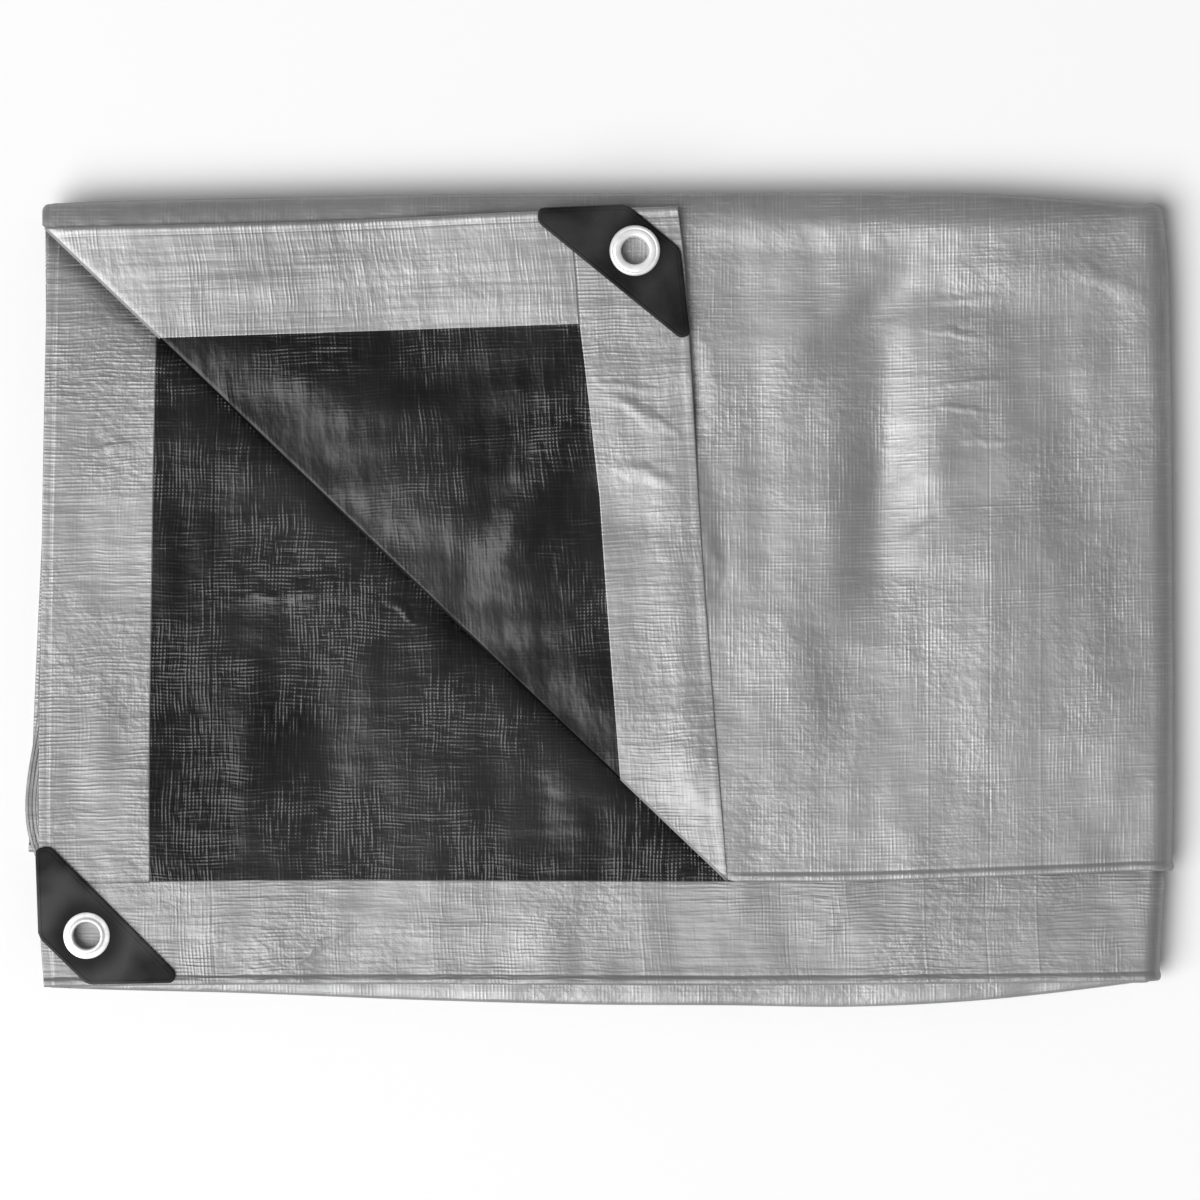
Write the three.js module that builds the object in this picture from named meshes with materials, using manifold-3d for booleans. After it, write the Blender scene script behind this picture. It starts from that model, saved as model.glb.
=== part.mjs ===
// Folded tarp: one hemmed sheet, folded double twice and then end to end, with one corner turned back.
// Millimetres, +X along the pack, +Y towards its upper fold, +Z up. It lies on z = 0.
import * as THREE from "three";
import { mergeVertices } from "three/addons/utils/BufferGeometryUtils.js";
import Module from "manifold-3d";

const wasm = await Module();
wasm.setup();

// Sheet, hem and rope bead
const SHEET = 1.2;
const HEM = 1.7;
const BEAD = 2.0;
const HEM_WIDTH = 48;
const HEM_STEP = 2;
const BEAD_WIDTH = 3.5;

// Heights of the four layers above the middle of the pack, at mid thickness
const PITCH = 3.0;
const LEVEL = { fourth: 1.5, third: 1.5 + PITCH, second: 1.5 + 2 * PITCH, first: 1.5 + 3 * PITCH };
const MIDDLE = LEVEL.first + BEAD / 2;

// Reach along Y of each rounded fold, and how far the inner upper fold lies inside the outer one
const OUTER_FOLD = 11;
const INNER_FOLD = 5;
const LOWER_FOLD = 6;
const FOLD_INSET = 4;

// Points of the section and rings of the pack
const FOLD_STEPS = { outer: 8, lower: 6, inner: 6 };
const RUN_STEPS = 6;
const ROW_STEPS = 11;
const BEND_STEPS = 8;
const LOWER_SHARES = [1, 0.8, 0.6, 0.4, 0.25];
const END_STEP = 2;
const MERGE_DISTANCE = 1e-4;

// The right-hand bend: where its axis lies at each height of the pack, seen from above
const BEND = [
  { y: -180, x: 238.6 },
  { y: -168, x: 239.2 },
  { y: -118, x: 241.9 },
  { y: 0, x: 242.6 },
  { y: 96, x: 241.8 },
  { y: 150, x: 240.4 },
  { y: 172, x: 238.4 },
  { y: 180, x: 237.6 },
];

// Edges of the upper half of the pack along X: outer upper fold, both hems' edges, rounded lower fold
const UPPER = [
  { x: -246, top: 174.4, hemOne: -124.0, hemTwo: -170.4, fold: -170.9 },
  { x: -207, top: 176.0, hemOne: -124.0, hemTwo: -169.8, fold: -172.3 },
  { x: -172, top: 176.8, hemOne: -124.0, hemTwo: -169.4, fold: -173.1 },
  { x: -75, top: 178.7, hemOne: -124.0, hemTwo: -169.3, fold: -176.7 },
  { x: 0, top: 179.3, hemOne: -124.1, hemTwo: -169.6, fold: -178.6 },
  { x: 57, top: 179.4, hemOne: -124.1, hemTwo: -169.8, fold: -178.9 },
  { x: 114, top: 179.5, hemOne: -123.8, hemTwo: -169.5, fold: -179.5 },
  { x: 171, top: 178.9, hemOne: -121.9, hemTwo: -168.9, fold: -176.6 },
  { x: 222, top: 175.6, hemOne: -120.0, hemTwo: -168.4, fold: -171.1 },
  { x: 238, top: 174.0, hemOne: -119.3, hemTwo: -168.1, fold: -169.0 },
];

// The same edges of the lower half, which lies beneath
const LOWER = [
  { x: -254, top: 171.5, hemOne: -111.5, hemTwo: -163.0, fold: -165.5 },
  { x: -120, top: 174.5, hemOne: -114.0, hemTwo: -165.0, fold: -169.5 },
  { x: 0, top: 176.0, hemOne: -116.0, hemTwo: -166.0, fold: -172.0 },
  { x: 120, top: 175.8, hemOne: -117.5, hemTwo: -166.5, fold: -171.0 },
  { x: 238, top: 174.6, hemOne: -119.2, hemTwo: -167.6, fold: -168.6 },
];

// Free left-hand edges of the layers along Y
const LEFT_ENDS = {
  upperOne: [
    { y: -124, x: -245.0 },
    { y: 180, x: -245.4 },
  ],
  upperTwo: [
    { y: -170.4, x: -244.7 },
    { y: -146.5, x: -246.4 },
    { y: -108.7, x: -247.0 },
    { y: 17.6, x: -246.0 },
    { y: 161.5, x: -243.3 },
  ],
  upperThree: [
    { y: -179, x: -242.0 },
    { y: 175, x: -243.5 },
  ],
  upperFour: [
    { y: -179, x: -242.6 },
    { y: 180, x: -245.0 },
  ],
  lowerOne: [
    { y: -120, x: -253.9 },
    { y: -44, x: -251.0 },
    { y: 17.6, x: -248.2 },
    { y: 132, x: -242.9 },
    { y: 180, x: -242.0 },
  ],
  lowerTwo: [
    { y: -170, x: -243.2 },
    { y: -122, x: -246.2 },
    { y: -113, x: -250.6 },
    { y: -44, x: -249.0 },
    { y: 60, x: -245.0 },
    { y: 180, x: -242.0 },
  ],
  lowerRest: [
    { y: -180, x: -240.5 },
    { y: 180, x: -242.0 },
  ],
};

// Soft swells of the upper right panel: place, reach and rise of the pack's top
const SWELLS = [
  { x: 82, y: 40, reachX: 16, reachY: 95, rise: 1.5 },
  { x: 124, y: 55, reachX: 18, reachY: 75, rise: -1.3 },
  { x: 168, y: 5, reachX: 17, reachY: 80, rise: 1.1 },
  { x: 205, y: 90, reachX: 20, reachY: 50, rise: -0.9 },
  { x: 100, y: -70, reachX: 22, reachY: 26, rise: 0.9 },
  { x: 178, y: -85, reachX: 30, reachY: 22, rise: -0.8 },
  { x: 150, y: 145, reachX: 70, reachY: 10, rise: 0.9 },
];

// The corner turned back: its slanting fold and its own corner, seen from above
const SLANT_START = new THREE.Vector2(-245.5, 164.1);
const SLANT_END = new THREE.Vector2(55.9, -124.1);
const FLAP_TOP = [
  { x: -245.5, y: 163.9 },
  { x: -120, y: 166.8 },
  { x: -20, y: 171.0 },
  { x: 34.1, y: 172.9 },
];
const FLAP_SIDE = [
  { x: 34.1, y: 172.9 },
  { x: 36.5, y: 153.6 },
  { x: 39.2, y: 116.6 },
  { x: 43.4, y: 44.9 },
  { x: 55.9, y: -124.1 },
];
const FLAP_RISE = 1.9;
const RISE_FROM = 20;
const RISE_TO = 110;
const FLAP_TIP = 3;
const FLAP_SEAM = 1;
const FLAP_TURN = PITCH / 2;
const FLAP_SHEET = 1.1;
const NARROW_FLAP = 6;
const LEAST_FLAP = 0.4;
const SIDE_STATIONS = 12;
const TURN_STEPS = 6;
const CUT_MARGIN = 40;

// Points from the slanting fold to the flap's edge: shares of its unhemmed part, of its whole reach and of its hem
const FLAP_POINTS = { plain: [0.3, 0.65], hemLeast: 0.2, hemRamp: 0.02, hemMiddle: 0.5, bead: 0.96 };

// Corner patches and eyelets
const PLATE = 0.8;
const GAP = 0.3;
const POCKET = BEAD / 2 + GAP;
const WRAP = -1.5;
const POCKET_REACH = 118;
const EYELET = { barrel: 6.9, rise: 1.3, washerRise: 1.0, sides: 28 };
const CORNER_LIFT = 1.9;
const LIFT_INNER = 78;
const LIFT_OUTER = 150;

// The second layer's corner, and the eyelet centres
const SECOND_CORNER = new THREE.Vector2(-244.7, -170.4);
const FLAP_CORNER = new THREE.Vector2(34.1, 172.9);
const LOWER_EYELET = new THREE.Vector2(-225.8, -147.6);
const FLAP_EYELET = new THREE.Vector2(15.3, 153.3);

// A patch's outline from its cloth corner: distances up the cloth's end and along its hem
const PATCH_OUTLINE = [
  { end: 22, hem: WRAP },
  { end: 57, hem: WRAP },
  { end: 61.6, hem: -0.3 },
  { end: 61.4, hem: 5 },
  { end: 57.4, hem: 9.2 },
  { end: 9, hem: 54.4 },
  { end: 4.6, hem: 57.6 },
  { end: 1.4, hem: 57 },
  { end: 0.8, hem: 53 },
  { end: 0.8, hem: 19 },
];

// An eyelet's two flanges: radius and share of the flange's rise, in turning order
const WASHER = [
  { r: 6.0, share: 0.5 },
  { r: 6.5, share: 1 },
  { r: 9.6, share: 0.8 },
  { r: 10.2, share: 0.4 },
  { r: 10.1, share: 0 },
];
const DOME = [
  { r: 10.9, share: 0 },
  { r: 11.1, share: 0.4 },
  { r: 10.0, share: 0.85 },
  { r: 8.55, share: 1 },
  { r: 6.7, share: 0.8 },
  { r: 6.0, share: 0.3 },
];

const cloth = new THREE.MeshStandardMaterial({ color: 0x9c9ea0, roughness: 0.38, metalness: 0.25 });
const plastic = new THREE.MeshStandardMaterial({ color: 0x2f3032, roughness: 0.5, metalness: 0 });
const alloy = new THREE.MeshStandardMaterial({ color: 0xe4e5e6, roughness: 0.3, metalness: 0.6 });

// A value read from a table of rows, on straight lines between them
function along(table, key, column, at) {
  const last = table.length - 1;
  if (at <= table[0][key]) return table[0][column];
  if (at >= table[last][key]) return table[last][column];
  const next = table.findIndex((row) => row[key] >= at);
  const low = table[next - 1];
  const high = table[next];
  const share = (at - low[key]) / (high[key] - low[key]);
  return THREE.MathUtils.lerp(low[column], high[column], share);
}

function swellAt(x, y) {
  let rise = 0;
  for (const swell of SWELLS) {
    const across = (x - swell.x) / swell.reachX;
    const length = (y - swell.y) / swell.reachY;
    rise += swell.rise * Math.exp(-across * across - length * length);
  }
  return rise;
}

// The lift of the second layer's corner, which makes room for the patch beneath it
function cornerLift(x, y) {
  const away = Math.hypot(x - SECOND_CORNER.x, y - SECOND_CORNER.y);
  return CORNER_LIFT * (1 - THREE.MathUtils.smoothstep(away, LIFT_INNER, LIFT_OUTER));
}

// Points of a rounded fold from one level to another, bulging towards reachTo
function foldPoints(reachTo, reach, fromLevel, toLevel, steps, layers) {
  const side = Math.sign(reach);
  const centreY = reachTo - side * (SHEET / 2) - reach;
  const centreH = (fromLevel + toLevel) / 2;
  const half = (fromLevel - toLevel) / 2;
  const points = [];
  for (let step = 0; step <= steps; step += 1) {
    const angle = (Math.PI * step) / steps;
    const y = centreY + reach * Math.sin(angle);
    const h = centreH + half * Math.cos(angle);
    points.push({ y, h, thick: SHEET, layer: step * 2 <= steps ? layers[0] : layers[1] });
  }
  return points;
}

// Points of a hemmed layer from its free edge to where its fold begins
function hemmedRun(edge, end, level, layer) {
  const marks = [
    { in: 0, thick: BEAD },
    { in: BEAD_WIDTH, thick: BEAD },
    { in: BEAD_WIDTH + HEM_STEP, thick: HEM },
    { in: HEM_WIDTH - HEM_STEP, thick: HEM },
    { in: HEM_WIDTH, thick: SHEET },
  ];
  const points = marks.map((mark) => ({ y: edge + mark.in, h: level, thick: mark.thick, layer }));
  const start = edge + HEM_WIDTH;
  for (let step = 1; step < RUN_STEPS; step += 1) {
    points.push({ y: THREE.MathUtils.lerp(start, end, step / RUN_STEPS), h: level, thick: SHEET, layer });
  }
  return points;
}

function plainRun(from, to, level, layer) {
  const points = [];
  for (let step = 1; step < RUN_STEPS; step += 1) {
    points.push({ y: THREE.MathUtils.lerp(from, to, step / RUN_STEPS), h: level, thick: SHEET, layer });
  }
  return points;
}

// The back-and-forth section of the four layers: first, fourth, third, second
function section(edges) {
  const inner = edges.top - FOLD_INSET;
  const { first, second, third, fourth } = LEVEL;
  const outerFold = foldPoints(edges.top, OUTER_FOLD, first, fourth, FOLD_STEPS.outer, ["One", "Four"]);
  const lowerFold = foldPoints(edges.fold, -LOWER_FOLD, fourth, third, FOLD_STEPS.lower, ["Four", "Three"]);
  const innerFold = foldPoints(inner, INNER_FOLD, third, second, FOLD_STEPS.inner, ["Three", "Two"]);
  const path = [
    ...hemmedRun(edges.hemOne, outerFold[0].y, first, "One"),
    ...outerFold,
    ...plainRun(outerFold.at(-1).y, lowerFold[0].y, fourth, "Four"),
    ...lowerFold,
    ...plainRun(lowerFold.at(-1).y, innerFold[0].y, third, "Three"),
    ...innerFold,
    ...hemmedRun(edges.hemTwo, innerFold.at(-1).y, second, "Two").reverse(),
  ];
  return path;
}

// Both faces of the sheet along a path, as pairs of points
function facesOf(path, least) {
  return path.map((point, index) => {
    const before = path[Math.max(index - 1, 0)];
    const after = path[Math.min(index + 1, path.length - 1)];
    const run = Math.hypot(after.y - before.y, after.h - before.h);
    const half = Math.max(point.thick, least) / 2;
    const offY = (-(after.h - before.h) / run) * half;
    const offH = ((after.y - before.y) / run) * half;
    return [
      { y: point.y + offY, h: point.h + offH, layer: point.layer },
      { y: point.y - offY, h: point.h - offH, layer: point.layer },
    ];
  });
}

// A closed solid from rings of point pairs
function loft(rings) {
  const pairs = rings[0].length;
  const ringSize = pairs * 2;
  const positions = [];
  for (const ring of rings) {
    for (const pair of ring) positions.push(...pair[0]);
    for (const pair of [...ring].reverse()) positions.push(...pair[1]);
  }
  const faces = [];
  for (let ring = 0; ring + 1 < rings.length; ring += 1) {
    for (let at = 0; at < ringSize; at += 1) {
      const next = (at + 1) % ringSize;
      const a = ring * ringSize + at;
      const b = ring * ringSize + next;
      faces.push(a, b, b + ringSize, a, b + ringSize, a + ringSize);
    }
  }
  const lastRing = (rings.length - 1) * ringSize;
  for (let at = 0; at + 1 < pairs; at += 1) {
    const far = ringSize - 1 - at;
    faces.push(at, far, far - 1, at, far - 1, at + 1);
    faces.push(lastRing + at, lastRing + far - 1, lastRing + far);
    faces.push(lastRing + at, lastRing + at + 1, lastRing + far - 1);
  }
  const geometry = new THREE.BufferGeometry();
  geometry.setAttribute("position", new THREE.Float32BufferAttribute(positions, 3));
  geometry.setIndex(faces);
  return geometry;
}

function solidOf(geometry) {
  const bare = geometry.clone();
  bare.deleteAttribute("normal");
  bare.deleteAttribute("uv");
  const merged = mergeVertices(bare, MERGE_DISTANCE);
  const vertProperties = new Float32Array(merged.attributes.position.array);
  const triVerts = new Uint32Array(merged.index.array);
  let volume = 0;
  const corner = (vertex) => new THREE.Vector3().fromArray(vertProperties, vertex * 3);
  for (let at = 0; at < triVerts.length; at += 3) {
    const [a, b, c] = [corner(triVerts[at]), corner(triVerts[at + 1]), corner(triVerts[at + 2])];
    volume += a.dot(b.cross(c));
  }
  if (volume < 0) {
    for (let at = 0; at < triVerts.length; at += 3) {
      [triVerts[at + 1], triVerts[at + 2]] = [triVerts[at + 2], triVerts[at + 1]];
    }
  }
  return new wasm.Manifold(new wasm.Mesh({ numProp: 3, vertProperties, triVerts }));
}

function meshOf(solid, name, material) {
  const { vertProperties, triVerts } = solid.getMesh();
  const geometry = new THREE.BufferGeometry();
  geometry.setAttribute("position", new THREE.BufferAttribute(new Float32Array(vertProperties), 3));
  geometry.setIndex(new THREE.BufferAttribute(new Uint32Array(triVerts), 1));
  geometry.computeVertexNormals();
  const mesh = new THREE.Mesh(geometry, material);
  mesh.name = name;
  return mesh;
}

// An upright prism over an outline seen from above
function prism(outline, low, high) {
  const shape = new THREE.Shape(outline.map((point) => new THREE.Vector2(point.x, point.y)));
  const geometry = new THREE.ExtrudeGeometry(shape, { depth: high - low, bevelEnabled: false });
  geometry.translate(0, 0, low);
  return solidOf(geometry);
}

function drill(centre, radius, low, high) {
  const geometry = new THREE.CylinderGeometry(radius, radius, high - low, EYELET.sides);
  geometry.rotateX(Math.PI / 2);
  geometry.translate(centre.x, centre.y, (low + high) / 2);
  return solidOf(geometry);
}

// Heights in the lower half, whose lowest layer lies flat on the surface beneath
function lowerHeight(point) {
  const outside = point.h > LEVEL.first + SHEET / 4;
  return outside ? 0 : MIDDLE - point.h;
}

// Rings of the folded pack: the upper half, the right-hand bend, the lower half
function packRings() {
  const rings = [];
  const span = along(BEND, "y", "x", 0) - UPPER[0].x;
  const [endShare, stepShare, rampShare, hemShare] = [0, END_STEP, HEM_WIDTH - HEM_STEP, HEM_WIDTH].map(
    (mark) => mark / span,
  );
  const shares = [endShare, stepShare, rampShare, hemShare];
  for (let step = 1; step <= ROW_STEPS; step += 1) {
    shares.push(THREE.MathUtils.lerp(hemShare, 1, step / ROW_STEPS));
  }
  const half = (share, table, layerName, flip) => {
    const x = THREE.MathUtils.lerp(table[0].x, table.at(-1).x, share);
    const row = {};
    for (const column of ["top", "hemOne", "hemTwo", "fold"]) row[column] = along(table, "x", column, x);
    const least = share <= rampShare ? HEM : SHEET;
    return facesOf(section(row), least).map((pair) =>
      pair.map((point) => {
        const left = along(LEFT_ENDS[layerName(point.layer)], "y", "x", point.y);
        const placeX = THREE.MathUtils.lerp(left, along(BEND, "y", "x", point.y), share);
        if (flip) return [placeX, point.y, lowerHeight(point)];
        const lift = point.layer === "Two" ? cornerLift(placeX, point.y) : 0;
        const height = MIDDLE + point.h;
        const swell = (swellAt(placeX, point.y) * point.h) / LEVEL.first;
        return [placeX, point.y, height + lift + swell];
      }),
    );
  };
  for (const share of shares) rings.push(half(share, UPPER, (layer) => `upper${layer}`, false));
  for (let step = 1; step < BEND_STEPS; step += 1) {
    const angle = (Math.PI * step) / BEND_STEPS;
    const row = {};
    for (const column of ["top", "hemOne", "hemTwo", "fold"]) {
      row[column] = THREE.MathUtils.lerp(UPPER.at(-1)[column], LOWER.at(-1)[column], step / BEND_STEPS);
    }
    const ring = facesOf(section(row), SHEET).map((pair) =>
      pair.map((point) => {
        const x = along(BEND, "y", "x", point.y) + point.h * Math.sin(angle);
        return [x, point.y, MIDDLE + point.h * Math.cos(angle)];
      }),
    );
    rings.push(ring);
  }
  const lowerName = (layer) => (layer === "One" || layer === "Two" ? `lower${layer}` : "lowerRest");
  for (const share of [...LOWER_SHARES, hemShare, rampShare, endShare]) rings.push(half(share, LOWER, lowerName, true));
  return rings;
}

// Slanting frame of the turned corner: t along the fold, d away from it towards the flap's corner
const slant = SLANT_END.clone().sub(SLANT_START);
const slantLength = slant.length();
slant.normalize();
const across = new THREE.Vector2(-slant.y, slant.x);
const fromSlant = (t, d) => SLANT_START.clone().addScaledVector(slant, t).addScaledVector(across, d);

// How far the flap reaches from its fold at a place along it
function flapReach(t) {
  let reach = Infinity;
  const edges = [...FLAP_TOP, ...FLAP_SIDE.slice(1)].map((point) => {
    const offset = new THREE.Vector2(point.x, point.y).sub(SLANT_START);
    return { t: offset.dot(slant), d: offset.dot(across) };
  });
  for (let at = 0; at + 1 < edges.length; at += 1) {
    const [low, high] = [edges[at], edges[at + 1]];
    if (t >= low.t && t <= high.t) {
      const share = (t - low.t) / (high.t - low.t);
      reach = Math.min(reach, THREE.MathUtils.lerp(low.d, high.d, share));
    }
  }
  return reach;
}

const firstTop = MIDDLE + LEVEL.first;
const flapCornerHeight = firstTop + PITCH + FLAP_RISE;

function flapHeight(d) {
  return firstTop + PITCH + FLAP_RISE * THREE.MathUtils.smoothstep(d, RISE_FROM, RISE_TO);
}

// The turned corner: from the first layer round the slanting fold and back over it
function flapSolid() {
  const turnOut = FLAP_TURN + SHEET / 2;
  const apexT = FLAP_CORNER.clone().sub(SLANT_START).dot(slant);
  const stations = [];
  for (let step = 0; step < SIDE_STATIONS; step += 1) {
    stations.push(THREE.MathUtils.lerp(FLAP_TIP, apexT, step / SIDE_STATIONS));
  }
  for (let step = 0; step <= SIDE_STATIONS; step += 1) {
    stations.push(THREE.MathUtils.lerp(apexT, slantLength - FLAP_TIP, step / SIDE_STATIONS));
  }
  const rings = stations.map((t) => {
    const reach = flapReach(t);
    const path = [{ y: turnOut + FLAP_SEAM, h: firstTop, thick: FLAP_SHEET }];
    for (let step = 0; step <= TURN_STEPS; step += 1) {
      const angle = (Math.PI * step) / TURN_STEPS;
      const y = turnOut - FLAP_TURN * Math.sin(angle);
      path.push({ y, h: firstTop + FLAP_TURN * (1 - Math.cos(angle)), thick: FLAP_SHEET });
    }
    const room = Math.max(reach - turnOut, LEAST_FLAP);
    const hemRoom = HEM_WIDTH * Math.SQRT2;
    const { plain, hemLeast, hemRamp, hemMiddle, bead } = FLAP_POINTS;
    const hemStart = Math.max(room - hemRoom, room * hemLeast);
    const marks = [
      ...plain.map((share) => ({ d: hemStart * share, thick: SHEET })),
      { d: hemStart - hemRamp * room, thick: SHEET },
      { d: hemStart + hemRamp * room, thick: HEM },
      { d: THREE.MathUtils.lerp(hemStart, room, hemMiddle), thick: HEM },
      { d: room * bead, thick: HEM },
      { d: room, thick: BEAD },
    ];
    for (const mark of marks) {
      const thick = room < NARROW_FLAP ? FLAP_SHEET : mark.thick;
      path.push({ y: turnOut + mark.d, h: flapHeight(turnOut + mark.d), thick });
    }
    return facesOf(path, FLAP_SHEET).map((pair) =>
      pair.map((point) => {
        const place = fromSlant(t, point.y);
        return [place.x, place.y, point.h];
      }),
    );
  });
  return solidOf(loft(rings));
}

function clothSolid() {
  const pack = solidOf(loft(packRings()));
  const turnOut = FLAP_TURN + SHEET / 2;
  const turnedOutline = [
    fromSlant(-CUT_MARGIN, turnOut),
    fromSlant(-CUT_MARGIN, -2 * slantLength),
    fromSlant(slantLength + CUT_MARGIN, -2 * slantLength),
    fromSlant(slantLength + CUT_MARGIN, turnOut),
  ];
  const cutLow = firstTop - PITCH / 2;
  const missing = prism(turnedOutline, cutLow, firstTop + PITCH);
  const body = pack.subtract(missing).add(flapSolid());
  const lowerLevel = MIDDLE + LEVEL.second + CORNER_LIFT;
  const clearance = EYELET.barrel + GAP;
  const lowerHole = drill(LOWER_EYELET, clearance, lowerLevel - BEAD, lowerLevel + BEAD);
  const flapHole = drill(FLAP_EYELET, clearance, flapCornerHeight - BEAD, flapCornerHeight + BEAD);
  return body.subtract(lowerHole).subtract(flapHole);
}

// A place on the cloth from its corner, along its end and along its hem
function fromCorner(corner, end, hem, alongEnd, alongHem) {
  return corner.clone().addScaledVector(end, alongEnd).addScaledVector(hem, alongHem);
}

// A patch folded round the cloth's end edge: two plates, joined by a wall outside that edge
function patchSolid(corner, end, hem, level, eyelet) {
  const at = (alongEnd, alongHem) => fromCorner(corner, end, hem, alongEnd, alongHem);
  const outline = PATCH_OUTLINE.map((point) => at(point.end, point.hem));
  const outer = POCKET + PLATE;
  const whole = prism(outline, level - outer, level + outer);
  const far = POCKET_REACH;
  const inside = WRAP + PLATE;
  const pocketOutline = [at(-far, inside), at(far, inside), at(far, far), at(-far, far)];
  const pocket = prism(pocketOutline, level - POCKET, level + POCKET);
  const hole = drill(eyelet, EYELET.barrel + GAP, level - 2 * outer, level + 2 * outer);
  return whole.subtract(pocket).subtract(hole);
}

// An eyelet: a barrel with a domed flange on one side and a rolled washer on the other
function eyeletMesh(name, centre, level, domeUp) {
  const seat = POCKET + PLATE + GAP;
  const { barrel, rise, washerRise, sides } = EYELET;
  const profile = [
    ...WASHER.map((point) => ({ r: point.r, z: -seat - washerRise * point.share })),
    { r: barrel, z: -seat },
    { r: barrel, z: seat },
    ...DOME.map((point) => ({ r: point.r, z: seat + rise * point.share })),
  ];
  const points = [...profile, profile[0]].map((point) => new THREE.Vector2(point.r, point.z));
  const geometry = new THREE.LatheGeometry(points, sides);
  geometry.rotateX(Math.PI / 2);
  if (!domeUp) geometry.rotateX(Math.PI);
  geometry.translate(centre.x, centre.y, level);
  return meshOf(solidOf(geometry), name, alloy);
}

const lowerCornerLevel = MIDDLE + LEVEL.second + CORNER_LIFT;
const up = new THREE.Vector2(0.035, 1).normalize().multiply(new THREE.Vector2(-1, 1));
const right = new THREE.Vector2(1, 0.02).normalize();
const back = new THREE.Vector2(-1, -0.04).normalize();
const down = new THREE.Vector2(0.11, -1).normalize();

const tarp = new THREE.Group();
tarp.add(meshOf(clothSolid(), "tarp_cloth", cloth));
tarp.add(
  meshOf(
    patchSolid(SECOND_CORNER, up, right, lowerCornerLevel, LOWER_EYELET),
    "corner_patch_lower",
    plastic,
  ),
);
tarp.add(
  meshOf(
    patchSolid(FLAP_CORNER, back, down, flapCornerHeight, FLAP_EYELET),
    "corner_patch_flap",
    plastic,
  ),
);
tarp.add(eyeletMesh("eyelet_lower", LOWER_EYELET, lowerCornerLevel, false));
tarp.add(eyeletMesh("eyelet_flap", FLAP_EYELET, flapCornerHeight, true));

export default tarp;
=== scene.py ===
"""A folded tarp, silver outside and black inside, with one corner turned back.

Sizes are in millimetres until a mesh is made, and in metres in the materials.
"""

import math

import bmesh
import bpy
import numpy as np
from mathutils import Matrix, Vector


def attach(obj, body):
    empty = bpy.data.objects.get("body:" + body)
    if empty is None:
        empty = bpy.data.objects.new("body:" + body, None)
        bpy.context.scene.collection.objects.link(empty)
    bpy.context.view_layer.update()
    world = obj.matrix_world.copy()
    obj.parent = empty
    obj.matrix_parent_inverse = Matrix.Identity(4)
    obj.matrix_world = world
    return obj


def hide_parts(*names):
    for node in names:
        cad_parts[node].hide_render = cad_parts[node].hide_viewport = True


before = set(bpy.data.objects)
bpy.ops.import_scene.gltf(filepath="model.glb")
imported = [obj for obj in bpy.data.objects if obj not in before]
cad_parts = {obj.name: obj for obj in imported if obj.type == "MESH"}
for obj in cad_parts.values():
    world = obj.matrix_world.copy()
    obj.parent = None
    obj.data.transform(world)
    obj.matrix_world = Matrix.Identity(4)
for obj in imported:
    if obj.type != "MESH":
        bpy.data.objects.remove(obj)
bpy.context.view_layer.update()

MM = 0.001


def table(columns, *rows):
    """Rows of numbers with named columns."""
    return [dict(zip(columns.split(), row)) for row in rows]


# Camera: the photograph's frame is 528 mm wide at the object
VIEW_WIDTH = 528.0
CAMERA_HEIGHT = 2400.0
SENSOR = 36.0
TOP_HEIGHT = 22.0
CLIP_END = 20.0

# Light and floor, in metres and watts
SKY_STRENGTH = 0.2
KEY_PANEL = {"place": (-5.2, -4.14, 9.0), "size": (9.6, 9.6), "power": 1640}
FLOOR_SIZE = 4.0

# Sheet, hem and rope bead, as half thicknesses at distances from a hemmed edge
PLAIN_HALF = 0.3
EDGE_PROFILE = table(
    "at half",
    (0.0, 0.3),
    (0.5, 0.8),
    (1.1, 1.05),
    (1.9, 1.15),
    (2.7, 1.05),
    (3.4, 0.8),
    (3.9, 0.5),
    (4.4, 0.42),
    (5.2, 0.52),
    (6.5, 0.42),
    (43.5, 0.42),
    (45.5, 0.3),
)
EDGE_MARKS = [row["at"] for row in EDGE_PROFILE[:10]] + [8.5, 11.0, 14.0]
MARKED_RUN = 60.0

# Heights of the layers above the pack's middle, and the reach of each fold
PITCH = 3.0
FOURTH = 1.5
THIRD = FOURTH + PITCH
SECOND = THIRD + PITCH
FIRST = SECOND + PITCH
MIDDLE = 11.5
FIRST_HEIGHT = MIDDLE + FIRST
OUTER_REACH = table("x reach", (-246, 12), (0, 15), (190, 15), (238, 6))
CORNER_PEAK = {"rise": 1.4, "at": 62.0, "wide": 34.0}
INNER_FOLD = 5.0
LOWER_FOLD = 6.0
FOLD_INSET = 4.0
LEAST_RUN = 0.4
FLATTENED = 0.7

# The cloth's width, and the points along each stretch of its section
CLOTH_WIDTH = 1360.0
RUN_POINTS = 79
HIDDEN_POINTS = 14
OUTER_POINTS = 15
LOWER_POINTS = 11
INNER_POINTS = 9
ONE, FOUR, THREE, TWO = range(4)

# Where the half turn at the right begins, and where the lower layers end
BEND_X = 242.0
BEND_ROW = 238.0
BEND_RIDGES = 240.0
LOWER_LEFT = -248.0

# What each point of the sheet carries, and its distances from hems that aren't near
GRID_MAPS = ("x", "y", "z", "half", "far", "end", "s", "v")
NO_HEM = 200.0
NO_END = 300.0

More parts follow.
